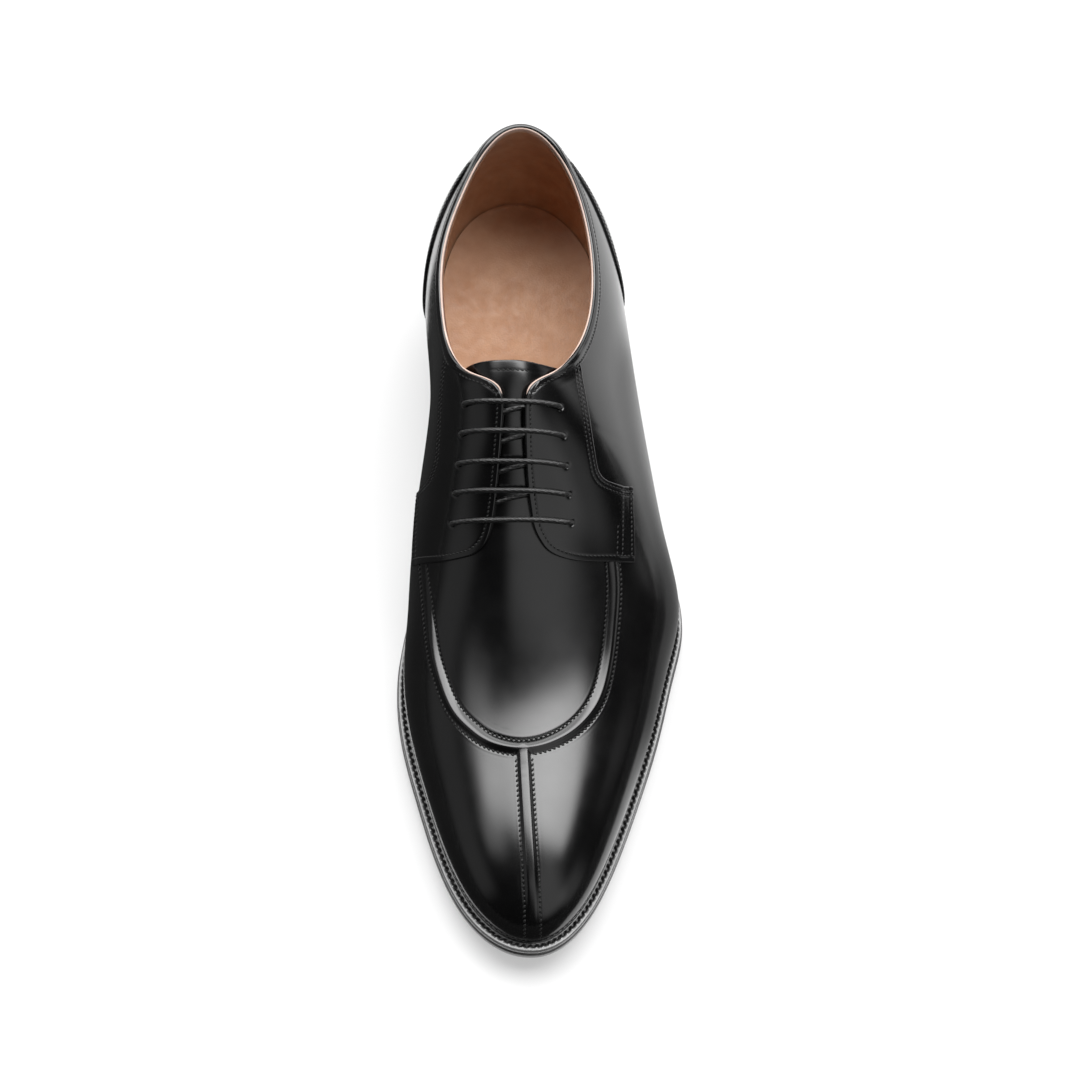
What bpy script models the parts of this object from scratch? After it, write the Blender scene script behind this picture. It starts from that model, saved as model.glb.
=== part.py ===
"""Left derby shoe with a stitched apron, a split toe seam and a stacked heel.

Sizes are in millimetres until a mesh is made, which is in metres, +Z up.
The toe points to -Y, the outer (lateral) side of the foot is +X.
Every piece of the upper is worked out from one surface, the last:
a station runs from the heel's back to the toe, and a share from 0 at the
feather line (where upper and welt meet) to 1 at the ridge on top of the foot.
"""
from collections import namedtuple
from math import radians

import bmesh
import bpy
import numpy as np
from mathutils import Vector

MM = 0.001
LATERAL = 1
MEDIAL = -1

# Driving sizes
LAST_LENGTH = 301.0
UPPER_WALL = 2.0
OVERLAY = 1.2
FIT_GAP = 0.3
OVERLAY_GAP = 0.6
WELT_THICK = 3.0
OUTSOLE_THICK = 5.0
INSOLE_THICK = 4.0
INSOLE_RISE = 0.8
INSOLE_ROOM = 0.7
INSOLE_END_TURN = 0.02
TOP_LIFT_THICK = 6.0
HEEL_BREAST = 74.0
HEEL_TAPER = 2.0
COUNTER_THICK = 1.0
TONGUE_THICK = 2.4
LACE_RADIUS = 1.0
LACE_ROOM = 0.6
EYELET_RADIUS = 2.2
EYELET_CUT_DEPTH = 8.0
# Share of a section that is the tuck below the belly
TUCK_SHARE = 0.14

# Edges of the sole: how far the welt's top edge is set in and how deep that
# rounding goes; how far the outsole swells out, is rounded on top, stands
# upright and is set in at its underside; how far the top lift is set in
WELT_SET_IN = 0.5
WELT_ROUND_SHARE = 0.35
OUTSOLE_SWELL = 0.3
OUTSOLE_ROUND = 0.6
OUTSOLE_UPRIGHT_SHARE = 0.6
OUTSOLE_SET_IN = 1.2
TOP_LIFT_SET_IN = 0.3

# How finely the pieces are divided
UPPER_ROWS = 39
THROAT_STATIONS = (104, 108, 111, 113.5, 115.5, 117.5, 119.5, 122, 151.5, 153.5, 155.2, 156.4)
UPPER_SPREAD = (0.0, 0.08, 0.17, 0.27, 0.37, 0.48, 0.59, 0.70, 0.81, 0.91, 1.0)
EYELET_SIDES = 10
FACING_COLUMNS = 6
COUNTER_ROWS = 27
COUNTER_COLUMNS = 8
TOE_SEAM_ROWS = 14
TONGUE_ROWS = 13
TONGUE_COLUMNS = 9
SOLE_ROWS = 34
OUTSOLE_ROWS = 42
HEEL_ROWS = 18
MERGE_WITHIN = 0.01
SHARP_ANGLE = radians(40)

# One row for each section of the last.  feather is its height over the floor;
# half_* the half widths at the feather and swell_* how far the wall swells past
# them, at the height belly; ridge_x and ridge_h place the ridge; wall_* and
# top_* say how upright the wall and how broad the top is on either side.
Section = namedtuple("Section", "station feather half_lat half_med swell_lat swell_med "
                                "belly ridge_x ridge_h wall_lat wall_med top_lat top_med")
SECTIONS = [
    Section(0, 33.0, 0.0, 0.0, 0.0, 0.0, 18, 0.0, 74.0, 0.50, 0.50, 0.50, 0.50),
    Section(10, 32.6, 20.0, 20.0, 2.0, 2.0, 18, -0.5, 74.0, 0.50, 0.50, 0.50, 0.50),
    Section(30, 31.3, 31.0, 29.5, 3.5, 3.0, 18, -1.5, 75.0, 0.45, 0.52, 0.40, 0.52),
    Section(60, 28.0, 36.0, 32.0, 4.0, 4.0, 18, -3.0, 78.0, 0.42, 0.62, 0.38, 0.75),
    Section(95, 21.3, 40.8, 30.5, 3.8, 4.0, 17, -4.5, 83.2, 0.38, 0.72, 0.32, 0.80),
    Section(130, 14.2, 47.8, 34.2, 2.5, 5.2, 15, -5.5, 78.3, 0.42, 0.62, 0.42, 0.52),
    Section(145, 11.6, 51.6, 36.4, 1.6, 5.0, 14, -5.5, 69.9, 0.43, 0.60, 0.43, 0.52),
    Section(160, 9.8, 55.4, 38.8, 1.2, 4.0, 13, -5.5, 60.2, 0.45, 0.58, 0.44, 0.52),
    Section(175, 8.8, 56.6, 41.4, 1.2, 2.4, 12, -5.0, 52.7, 0.47, 0.57, 0.46, 0.52),
    Section(190, 8.5, 53.2, 43.7, 1.2, 1.5, 11, -4.5, 46.5, 0.50, 0.56, 0.48, 0.52),
    Section(215, 8.7, 46.8, 43.2, 1.0, 1.0, 10, -3.5, 38.3, 0.52, 0.55, 0.52, 0.54),
    Section(240, 10.2, 38.9, 37.9, 1.0, 1.0, 9, -2.5, 32.8, 0.54, 0.55, 0.55, 0.55),
    Section(265, 12.6, 29.7, 31.0, 0.8, 0.8, 8, -1.5, 27.4, 0.55, 0.55, 0.56, 0.56),
    Section(285, 15.0, 20.2, 22.4, 0.6, 0.6, 6, -0.5, 20.0, 0.55, 0.55, 0.56, 0.56),
    Section(301, 17.2, 0.0, 0.0, 0.0, 0.0, 0, 0.0, 0.0, 0.55, 0.55, 0.55, 0.55),
]

# How far the heel's back leans in, by height over the feather
BackCurve = namedtuple("BackCurve", "height inward")
BACK_CURVE = [BackCurve(0, 3.0), BackCurve(18, 0.0), BackCurve(62, 6.5), BackCurve(100, 16.0)]
BACK_FADE = 75.0

# Edge of the opening: collar first, then the throat down to its closed end
Opening = namedtuple("Opening", "station share_lat share_med")
OPENING = [
    Opening(0, 0.645, 0.645), Opening(8, 0.632, 0.635), Opening(16, 0.600, 0.608),
    Opening(30, 0.560, 0.565), Opening(45, 0.537, 0.522), Opening(60, 0.532, 0.497),
    Opening(75, 0.552, 0.490), Opening(88, 0.600, 0.512), Opening(98, 0.662, 0.572),
    Opening(106, 0.735, 0.655), Opening(112, 0.820, 0.770), Opening(116, 0.893, 0.880),
    Opening(120, 0.930, 0.930), Opening(128, 0.946, 0.936), Opening(140, 0.945, 0.920),
    Opening(150, 0.938, 0.905),
]
THROAT_END = 157.0
# The facings stop this share short of the opening's edge
FACING_SET_BACK = 0.003

# How far welt and outsole stand out past the feather line
Ledge = namedtuple("Ledge", "station lat med")
LEDGES = [
    Ledge(0, 1.6, 1.6), Ledge(40, 1.6, 1.5), Ledge(80, 1.2, 0.0), Ledge(110, 1.4, -1.0),
    Ledge(140, 2.2, 0.4), Ledge(165, 3.2, 2.6), Ledge(190, 3.3, 3.3), Ledge(301, 3.4, 3.4),
]

# The facings run between a front edge (throat, then lower edge) and a rear seam
Strip = namedtuple("Strip", "front front_share rear rear_share")
FACING_LATERAL = [
    Strip(116.0, 0.893, 99.0, 0.668), Strip(122.0, 0.940, 108.0, 0.672),
    Strip(132.0, 0.947, 118.0, 0.669), Strip(144.0, 0.942, 128.0, 0.667),
    Strip(154.0, 0.928, 135.0, 0.662), Strip(160.0, 0.918, 139.0, 0.655),
    Strip(164.5, 0.895, 141.0, 0.635), Strip(167.5, 0.863, 141.5, 0.605),
    Strip(169.0, 0.800, 141.3, 0.570), Strip(168.5, 0.705, 140.8, 0.530),
    Strip(165.5, 0.540, 139.5, 0.485),
]
FACING_MEDIAL = [
    Strip(116.0, 0.880, 97.0, 0.545), Strip(122.0, 0.936, 106.0, 0.510),
    Strip(132.0, 0.930, 114.0, 0.492), Strip(144.0, 0.913, 124.0, 0.488),
    Strip(154.0, 0.895, 131.0, 0.485), Strip(160.0, 0.875, 134.0, 0.465),
    Strip(164.5, 0.843, 136.0, 0.435), Strip(167.0, 0.790, 136.3, 0.400),
    Strip(167.5, 0.720, 136.0, 0.365), Strip(166.0, 0.560, 135.3, 0.320),
    Strip(160.0, 0.290, 134.0, 0.260),
]

# Upper edge of the heel counter, the same on both sides
Counter = namedtuple("Counter", "station share")
COUNTER = [
    Counter(0, 0.615), Counter(10, 0.600), Counter(16, 0.540), Counter(24, 0.462), Counter(32, 0.405),
    Counter(40, 0.345), Counter(47, 0.280), Counter(52, 0.205), Counter(56, 0.110), Counter(57.5, 0.060),
]
COUNTER_FOOT = 0.03

# Crest of the apron seam, from the lateral facing round the toe to the medial one
Crest = namedtuple("Crest", "side station share")
APRON = [
    Crest(LATERAL, 169.5, 0.645), Crest(LATERAL, 185.0, 0.643), Crest(LATERAL, 195.0, 0.643),
    Crest(LATERAL, 203.0, 0.650), Crest(LATERAL, 211.5, 0.667), Crest(LATERAL, 219.0, 0.703),
    Crest(LATERAL, 226.0, 0.770), Crest(LATERAL, 231.5, 0.866), Crest(LATERAL, 234.5, 0.999),
    Crest(MEDIAL, 232.0, 0.849), Crest(MEDIAL, 226.5, 0.749), Crest(MEDIAL, 221.0, 0.682),
    Crest(MEDIAL, 214.5, 0.636), Crest(MEDIAL, 206.5, 0.598), Crest(MEDIAL, 198.5, 0.563),
    Crest(MEDIAL, 189.5, 0.533), Crest(MEDIAL, 179.0, 0.492), Crest(MEDIAL, 166.5, 0.442),
]
SEAM_HALF_WIDTH = 2.0
SEAM_CROWN = 0.9
SEAM_THICK = 0.9
TOE_SEAM_START = 237.2
TOE_SEAM_END = 300.4

# Lace holes, from the top pair to the bottom pair
Eyelet = namedtuple("Eyelet", "lat lat_share med med_share")
EYELETS = [
    Eyelet(122.5, 0.793, 120.5, 0.712), Eyelet(131.5, 0.789, 129.5, 0.690),
    Eyelet(140.5, 0.786, 138.5, 0.676), Eyelet(149.0, 0.781, 147.0, 0.666),
    Eyelet(157.5, 0.779, 156.0, 0.652),
]
# The lace between a pair of holes, as shares of the way across: where a bar
# has left its hole, and how far it curls away while it turns through the hole
BAR_START = 0.14
HOLE_CURL = 0.038
BAR_POINTS = 6
RUN_POINTS = 4
BEND_POINTS = 5

# Tongue: half width across, measured from the ridge
TongueRow = namedtuple("TongueRow", "station half_width")
TONGUE = [
    TongueRow(101.0, 13.0), TongueRow(102.5, 17.0), TongueRow(106.0, 19.0), TongueRow(116.0, 20.0),
    TongueRow(130.0, 20.5), TongueRow(145.0, 21.0), TongueRow(158.0, 20.0), TongueRow(166.0, 18.0),
]

# Colours
BLACK_LEATHER = ((0.012, 0.012, 0.013, 1.0), 0.22)
BLACK_EDGE = ((0.022, 0.021, 0.021, 1.0), 0.42)
BLACK_RUBBER = ((0.020, 0.020, 0.020, 1.0), 0.60)
TAN_LEATHER = ((0.420, 0.235, 0.130, 1.0), 0.50)
BLACK_CORD = ((0.015, 0.015, 0.016, 1.0), 0.50)


def spline(knots, values):
    """A natural cubic spline through the values, as a function."""
    t = np.asarray(knots, float)
    y = np.asarray(values, float)
    h = np.diff(t)
    count = len(t)
    matrix = np.eye(count)
    right = np.zeros(count)
    for i in range(1, count - 1):
        matrix[i, i - 1:i + 2] = h[i - 1], 2 * (h[i - 1] + h[i]), h[i]
        right[i] = 6 * ((y[i + 1] - y[i]) / h[i] - (y[i] - y[i - 1]) / h[i - 1])
    bend = np.linalg.solve(matrix, right)

    def value(x):
        x = np.asarray(x, float)
        i = np.clip(np.searchsorted(t, x) - 1, 0, count - 2)
        a = t[i + 1] - x
        b = x - t[i]
        curved = (bend[i] * a ** 3 + bend[i + 1] * b ** 3) / (6 * h[i])
        before = y[i] / h[i] - bend[i] * h[i] / 6
        after = y[i + 1] / h[i] - bend[i + 1] * h[i] / 6
        return curved + before * a + after * b

    return value


def turn_of(station):
    """The angle whose cosine runs along the last, so that heel and toe end round."""
    return np.arccos(np.clip(1 - 2 * np.asarray(station, float) / LAST_LENGTH, -1, 1))


def station_of(turn):
    """The station at an angle along the last."""
    return LAST_LENGTH * (1 - np.cos(turn)) / 2


def columns(rows):
    """Each column of a table, as a list under its name."""
    return {name: [getattr(row, name) for row in rows] for name in rows[0]._fields}


LAST = {name: spline(turn_of(columns(SECTIONS)["station"]), column)
        for name, column in columns(SECTIONS).items() if name != "station"}
BACK = spline(columns(BACK_CURVE)["height"], columns(BACK_CURVE)["inward"])


def last_at(turn, share, side):
    """The last's surface: x across, y to the heel, z up, in millimetres."""
    turn, share = np.broadcast_arrays(np.asarray(turn, float), np.asarray(share, float))
    name = "lat" if side == LATERAL else "med"
    half = LAST["half_" + name](turn)
    swell = LAST["swell_" + name](turn)
    belly = LAST["belly"](turn)
    height = LAST["ridge_h"](turn)
    ridge = LAST["ridge_x"](turn) * side
    wide = half + swell
    low = np.clip(share / TUCK_SHARE, 0, 1)
    q = np.clip((share - TUCK_SHARE) / (1 - TUCK_SHARE), 0, 1)
    start = (1 - q) ** 3
    wall = 3 * q * (1 - q) ** 2
    top = 3 * q * q * (1 - q)
    end = q ** 3
    wall_h = belly + LAST["wall_" + name](turn) * (height - belly)
    top_x = ridge + LAST["top_" + name](turn) * (wide - ridge)
    x = np.where(share < TUCK_SHARE, half + swell * np.sin(low * np.pi / 2),
                 (start + wall) * wide + top * top_x + end * ridge)
    h = np.where(share < TUCK_SHARE, belly * low, start * belly + wall * wall_h + (top + end) * height)
    station = station_of(turn)
    fade = np.clip(1 - station / BACK_FADE, 0, 1) ** 2
    y = -(station + BACK(np.clip(h, 0, 100)) * fade)
    return np.stack([x * side, y, h + LAST["feather"](turn)], -1)


def normal_at(turn, share, side):
    """Unit normal of the last, pointing out."""
    step = 0.002
    turn = np.minimum(turn, np.pi - 3 * step)
    share = np.clip(share, step, 1 - step)
    along = last_at(turn + step, share, side) - last_at(turn - step, share, side)
    up = last_at(turn, share + step, side) - last_at(turn, share - step, side)
    out = np.cross(along, up) * -side
    return out / np.linalg.norm(out, axis=-1, keepdims=True)


def skin(turn, share, side, lift):
    """A point of the last moved out by lift."""
    return last_at(turn, share, side) + np.asarray(lift, float)[..., None] * normal_at(turn, share, side)


def opening_share(station, side):
    """Share of the opening's edge at a station; 1 past the throat's end."""
    table = columns(OPENING)
    edge = spline(table["station"], table["share_lat" if side == LATERAL else "share_med"])
    last_station = table["station"][-1]
    closing = np.clip((station - last_station) / (THROAT_END - last_station), 0, 1)
    gap = (1 - edge(np.minimum(station, last_station))) * np.sqrt(1 - closing ** 2)
    return 1 - gap


def collection_named(name):
    """A new collection in the scene."""
    made = bpy.data.collections.new(name)
    bpy.context.scene.collection.children.link(made)
    return made


def material_named(name, look):
    """A plain material from a look, which is a colour and a roughness."""
    colour, roughness = look
    made = bpy.data.materials.new(name)
    made.use_nodes = True
    made.diffuse_color = colour
    shader = made.node_tree.nodes["Principled BSDF"]
    shader.inputs["Base Color"].default_value = colour
    shader.inputs["Roughness"].default_value = roughness
    shader.inputs["Metallic"].default_value = 0.0
    return made


def object_from(name, mesh, look):
    """A part of the shoe with its own material."""
    mesh.materials.append(material_named(name + "_material", look))
    made = bpy.data.objects.new(name, mesh)
    PARTS.objects.link(made)
    made.parent = ROOT
    return made


def mesh_from(name, corners, faces, close=False):
    """A mesh in metres from corners in millimetres, doubles merged.

    Faces stay as wound, or with close the open ends are filled and every face
    is turned out.
    """
    shape = bmesh.new()
    verts = [shape.verts.new(tuple(corner * MM)) for corner in corners]
    for face in faces:
        shape.faces.new([verts[i] for i in face])
    bmesh.ops.remove_doubles(shape, verts=shape.verts, dist=MERGE_WITHIN * MM)
    if close:
        bmesh.ops.holes_fill(shape, edges=shape.edges, sides=0)
        bmesh.ops.recalc_face_normals(shape, faces=shape.faces)
    mesh = bpy.data.meshes.new(name)
    shape.to_mesh(mesh)
    shape.free()
    mesh.shade_smooth()
    mesh.set_sharp_from_angle(angle=SHARP_ANGLE)
    return mesh


def grid_faces(rows, cols, flip, first=0):
    """Quads of a grid of rows by cols corners."""
    faces = []
    for i in range(rows - 1):
        for j in range(cols - 1):
            quad = [first + i * cols + j, first + (i + 1) * cols + j,
                    first + (i + 1) * cols + j + 1, first + i * cols + j + 1]
            faces.append(quad[::-1] if flip else quad)
    return faces


def solidified(part, thickness, offset):
    """Gives a sheet its wall."""
    thicken = part.modifiers.new("wall", "SOLIDIFY")
    thicken.thickness = thickness * MM
    thicken.offset = offset
    thicken.use_quality_normals = True
    return part


def shell(name, grid, thickness, look, flip):
    """A sheet given as a grid of points, thickened outward."""
    rows, cols, _ = grid.shape
    mesh = mesh_from(name, grid.reshape(-1, 3), grid_faces(rows, cols, flip))
    return solidified(object_from(name, mesh, look), thickness, 1.0)


def cut_eyelets(part):
    """Cuts the lace holes out of a part."""
    holes = part.modifiers.new("lace_holes", "BOOLEAN")
    holes.operation = "DIFFERENCE"
    holes.object = bpy.data.objects["eyelet_cutter"]
    return part


def make_eyelet_cutter():
    """Ten short rods along the upper's normals, one through each lace hole."""
    shape = bmesh.new()
    for row in EYELETS:
        for side, station, share in ((LATERAL, row.lat, row.lat_share), (MEDIAL, row.med, row.med_share)):
            middle, out = eyelet(side, station, share)
            spin = turned_to(out)
            spin.translation = middle * MM
            bmesh.ops.create_cone(shape, cap_ends=True, segments=EYELET_SIDES,
                                  radius1=EYELET_RADIUS * MM, radius2=EYELET_RADIUS * MM,
                                  depth=EYELET_CUT_DEPTH * MM, matrix=spin)
    mesh = bpy.data.meshes.new("eyelet_cutter")
    shape.to_mesh(mesh)
    shape.free()
    cutter = bpy.data.objects.new("eyelet_cutter", mesh)
    CUTTERS.objects.link(cutter)
    cutter.parent = ROOT
    cutter.hide_render = True
    cutter.display_type = "WIRE"


def eyelet(side, station, share):
    """Middle and outward direction of a lace hole."""
    turn = turn_of(station)
    return last_at(turn, share, side), normal_at(turn, share, side)


def turned_to(direction):
    """Matrix that turns +Z into the direction."""
    return Vector(direction).to_track_quat("Z", "Y").to_matrix().to_4x4()


def make_upper():
    """Both halves of the last up to the opening's edge, one hollow wall."""
    even = station_of(np.linspace(0, np.pi, UPPER_ROWS))
    stations = np.unique(np.concatenate([even, THROAT_STATIONS, [THROAT_END]]))
    spread = np.array(UPPER_SPREAD)
    corners = []
    faces = []
    turns = turn_of(stations)
    for side in (LATERAL, MEDIAL):
        shares = opening_share(stations, side)[:, None] * spread[None, :]
        grid = last_at(turns[:, None], shares, side)
        faces += grid_faces(len(stations), len(spread), side == LATERAL, len(corners))
        corners += list(grid.reshape(-1, 3))
    part = object_from("upper", mesh_from("upper", corners, faces), BLACK_LEATHER)
    return cut_eyelets(solidified(part, UPPER_WALL, -1.0))


def make_facing(name, rows, side):
    """An eyelet facing with its side tab, lying on the upper."""
    table = columns(rows)
    knots = np.arange(len(rows))
    fine = np.linspace(0, len(rows) - 1, 2 * len(rows) - 1)
    edge = {key: spline(knots, column)(fine) for key, column in table.items()}
    across = np.linspace(0, 1, FACING_COLUMNS)
    stations = edge["front"][:, None] * (1 - across) + edge["rear"][:, None] * across
    shares = edge["front_share"][:, None] * (1 - across) + edge["rear_share"][:, None] * across
    shares = np.minimum(shares, opening_share(stations, side) - FACING_SET_BACK)
    grid = skin(turn_of(stations), shares, side, np.full(stations.shape, OVERLAY_GAP))
    return cut_eyelets(shell(name, grid, OVERLAY, BLACK_LEATHER, side == MEDIAL))


def make_counter():
    """The heel's outer cover, from one quarter round the back to the other."""
    table = columns(COUNTER)
    edge = spline(turn_of(table["station"]), table["share"])
    reach = turn_of(table["station"][-1])
    halves = reach * np.sin(np.linspace(-np.pi / 2, np.pi / 2, COUNTER_ROWS))
    rise = np.linspace(0, 1, COUNTER_COLUMNS)
    grid = []
    for turn in halves:
        side = LATERAL if turn >= 0 else MEDIAL
        shares = COUNTER_FOOT + (edge(abs(turn)) - COUNTER_FOOT) * rise
        grid.append(skin(np.full(rise.shape, abs(turn)), shares, side, np.full(rise.shape, OVERLAY_GAP)))
    return shell("heel_counter", np.array(grid), COUNTER_THICK, BLACK_LEATHER, True)


def seam_strip(name, path):
    """A raised, crowned seam along points given as position and outward direction."""
    middle = np.array([point for point, _ in path])
    out = np.array([direction for _, direction in path])
    ahead = np.gradient(middle, axis=0)
    aside = np.cross(ahead, out)
    aside /= np.linalg.norm(aside, axis=1, keepdims=True)
    across = np.array([-1.0, 0.0, 1.0])
    grid = []
    for place in across:
        lift = OVERLAY_GAP + SEAM_CROWN * np.cos(place * np.pi / 2)
        grid.append(middle + aside * place * SEAM_HALF_WIDTH + out * lift)
    return shell(name, np.swapaxes(np.array(grid), 0, 1), SEAM_THICK, BLACK_LEATHER, True)


def make_apron_seam():
    """The raised seam round the apron."""
    stations = [row.station for row in APRON]
    places = [row.share if row.side == LATERAL else 2 - row.share for row in APRON]
    knots = np.arange(len(APRON))
    fine = np.linspace(0, len(APRON) - 1, 2 * len(APRON) - 1)
    path = []
    for station, place in zip(spline(knots, stations)(fine), spline(knots, places)(fine)):
        side = LATERAL if place <= 1 else MEDIAL
        share = min(place, 2 - place)
        turn = turn_of(station)
        path.append((last_at(turn, share, side), normal_at(turn, share, side)))
    return seam_strip("apron_seam", path)


def make_toe_seam():
    """The raised seam down the middle of the toe."""
    path = []
    for turn in np.linspace(turn_of(TOE_SEAM_START), turn_of(TOE_SEAM_END), TOE_SEAM_ROWS):
        out = normal_at(turn, 1.0, LATERAL) + normal_at(turn, 1.0, MEDIAL)
        path.append((last_at(turn, 1.0, LATERAL), out / np.linalg.norm(out)))
    return seam_strip("toe_seam", path)


def share_across(turn, offset, side):
    """Share at which the surface is offset from the ridge across the foot."""
    shares = np.linspace(0.3, 1, 141)
    places = np.abs(last_at(np.full(shares.shape, turn), shares, side)[:, 0] - LAST["ridge_x"](turn))
    return np.interp(-offset, -places, shares)


def make_tongue():
    """The tongue under the facings, one lace deep below the upper's wall."""
    drop = -(UPPER_WALL + LACE_ROOM + 2 * LACE_RADIUS + LACE_ROOM)
    table = columns(TONGUE)
    width = spline(table["station"], table["half_width"])
    grid = []
    for station in np.linspace(table["station"][0], table["station"][-1], TONGUE_ROWS):
        turn = turn_of(station)
        row = []
        for place in np.linspace(1, -1, TONGUE_COLUMNS):
            side = LATERAL if place >= 0 else MEDIAL
            share = share_across(turn, abs(place) * width(station), side)
            row.append(skin(turn, share, side, drop))
        grid.append(row)
    part = shell("tongue", np.array(grid), TONGUE_THICK, BLACK_LEATHER, True)
    part.modifiers["wall"].offset = -1.0
    return part


def feather_line(turns, side, offset):
    """Plan of the feather line, moved out by offset."""
    step = 0.001
    here = last_at(turns, 0.0, side)
    ahead = last_at(turns + step, 0.0, side) - last_at(turns - step, 0.0, side)
    out = np.stack([-ahead[:, 1], ahead[:, 0]], -1) * side
    out /= np.linalg.norm(out, axis=1, keepdims=True)
    line = here.copy()
    line[:, :2] += out * offset[:, None]
    return line


def ledge(turns, side):
    """How far the welt stands out at the turns."""
    table = columns(LEDGES)
    return np.interp(station_of(turns), table["station"], table["lat" if side == LATERAL else "med"])


def sole_layer(name, turns, profile, look, closed_ring=False):
    """A layer under the last, lofted along it.

    profile holds corners down its side, each a function of the turns and the
    side that gives how far out and how high the corner is.
    """
    count = len(profile)
    corners = []
    for side in (LATERAL, MEDIAL):
        for out, height in profile:
            line = feather_line(turns, side, out(turns, side))
            line[:, 2] = height(turns)
            corners.append(line)
    grid = np.swapaxes(np.array(corners), 0, 1)
    stations = len(turns)
    faces = []
    loops = 2 * count
    for i in range(stations - 1):
        for half in (0, count):
            for k in range(count - 1 + closed_ring):
                a = half + k
                b = half + (k + 1) % count
                quad = [i * loops + a, (i + 1) * loops + a, (i + 1) * loops + b, i * loops + b]
                faces.append(quad if half == 0 else quad[::-1])
        if not closed_ring:
            for lat, med, top in ((0, count, True), (count - 1, 2 * count - 1, False)):
                quad = [i * loops + lat, (i + 1) * loops + lat, (i + 1) * loops + med, i * loops + med]
                faces.append(quad[::-1] if top else quad)
    return object_from(name, mesh_from(name, grid.reshape(-1, 3), faces, close=True), look)


def feather_height(below):
    """Height that follows the feather line, some way below it."""
    return lambda turns: LAST["feather"](turns) - below


def ledge_less(amount):
    """Offset that follows the welt's edge, some way inside it."""
    return lambda turns, side: ledge(turns, side) - amount


def inside_feather(amount):
    """The same offset all round, inside the feather line."""
    return lambda turns, side: np.full(turns.shape, -amount)


WELT_TOP = FIT_GAP
WELT_FOOT = WELT_TOP + WELT_THICK
OUTSOLE_TOP = WELT_FOOT + FIT_GAP
OUTSOLE_FOOT = OUTSOLE_TOP + OUTSOLE_THICK


def outsole_underside(turns):
    """Flat on the floor at the ball, rising at the arch and the toe."""
    return np.maximum(LAST["feather"](turns) - OUTSOLE_FOOT, 0.0)


def make_welt():
    """A ring between the upper and the outsole, its top edge rounded."""
    turns = np.linspace(0, np.pi, SOLE_ROWS)
    rounded = WELT_TOP + WELT_ROUND_SHARE * WELT_THICK
    profile = [
        (inside_feather(UPPER_WALL), feather_height(WELT_TOP)),
        (ledge_less(WELT_SET_IN), feather_height(WELT_TOP)),
        (ledge_less(0.0), feather_height(rounded)),
        (ledge_less(0.0), feather_height(WELT_FOOT)),
        (inside_feather(UPPER_WALL), feather_height(WELT_FOOT)),
    ]
    return sole_layer("welt", turns, profile, BLACK_EDGE, closed_ring=True)


def make_insole():
    """The board the foot stands on, clear of the upper all round."""
    turns = np.linspace(INSOLE_END_TURN, np.pi - INSOLE_END_TURN, SOLE_ROWS)
    inset = inside_feather(UPPER_WALL + INSOLE_ROOM)
    profile = [
        (inset, feather_height(-INSOLE_RISE)),
        (inset, feather_height(INSOLE_THICK - INSOLE_RISE)),
    ]
    return sole_layer("insole", turns, profile, TAN_LEATHER)


def make_outsole():
    """One leather sole from heel to toe."""
    turns = np.linspace(0, np.pi, OUTSOLE_ROWS)
    profile = [
        (ledge_less(OUTSOLE_SWELL), feather_height(OUTSOLE_TOP)),
        (ledge_less(-OUTSOLE_SWELL), feather_height(OUTSOLE_TOP + OUTSOLE_ROUND)),
        (ledge_less(-OUTSOLE_SWELL), feather_height(OUTSOLE_TOP + OUTSOLE_UPRIGHT_SHARE * OUTSOLE_THICK)),
        (ledge_less(OUTSOLE_SET_IN), outsole_underside),
    ]
    return sole_layer("outsole", turns, profile, BLACK_EDGE)


def heel_turns():
    """Turns from the heel's back to its breast."""
    return np.linspace(0, turn_of(HEEL_BREAST), HEEL_ROWS)


def make_heel_stack():
    """The heel between outsole and top lift, a little narrower to the floor."""
    foot = TOP_LIFT_THICK + FIT_GAP
    profile = [
        (ledge_less(OUTSOLE_SET_IN), lambda turns: outsole_underside(turns) - FIT_GAP),
        (ledge_less(OUTSOLE_SET_IN + HEEL_TAPER / 2), lambda turns: (outsole_underside(turns) + foot) / 2),
        (ledge_less(OUTSOLE_SET_IN + HEEL_TAPER), lambda turns: np.full(turns.shape, foot)),
    ]
    return sole_layer("heel_stack", heel_turns(), profile, BLACK_EDGE)


def make_heel_top_lift():
    """The rubber layer the heel stands on."""
    set_in = OUTSOLE_SET_IN + HEEL_TAPER
    profile = [
        (ledge_less(set_in), lambda turns: np.full(turns.shape, TOP_LIFT_THICK)),
        (ledge_less(set_in + TOP_LIFT_SET_IN), np.zeros_like),
    ]
    return sole_layer("heel_top_lift", heel_turns(), profile, BLACK_RUBBER)


def lace_route():
    """Bars over the facings, and slanting runs below them from hole to hole."""
    over = OVERLAY_GAP + OVERLAY + FIT_GAP + LACE_RADIUS
    under = -(UPPER_WALL + LACE_ROOM + LACE_RADIUS)
    route = []
    for number, row in enumerate(EYELETS):
        med = (row.med, row.med_share)
        lat = (row.lat, row.lat_share)
        if number == 0:
            route.append(lace_point(med, lat, 0.0, under))
        route += hole_bend(med, lat, 0.0, under, over)
        for place in np.linspace(BAR_START, 1 - BAR_START, BAR_POINTS):
            route.append(lace_point(med, lat, place, over))
        route += hole_bend(med, lat, 1.0, over, under)
        if number + 1 < len(EYELETS):
            following = EYELETS[number + 1]
            to = (following.med, following.med_share)
            for place in np.linspace(1 - BAR_START, BAR_START, RUN_POINTS):
                route.append(lace_point(to, lat, place, under))
    return np.array(route)


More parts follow.
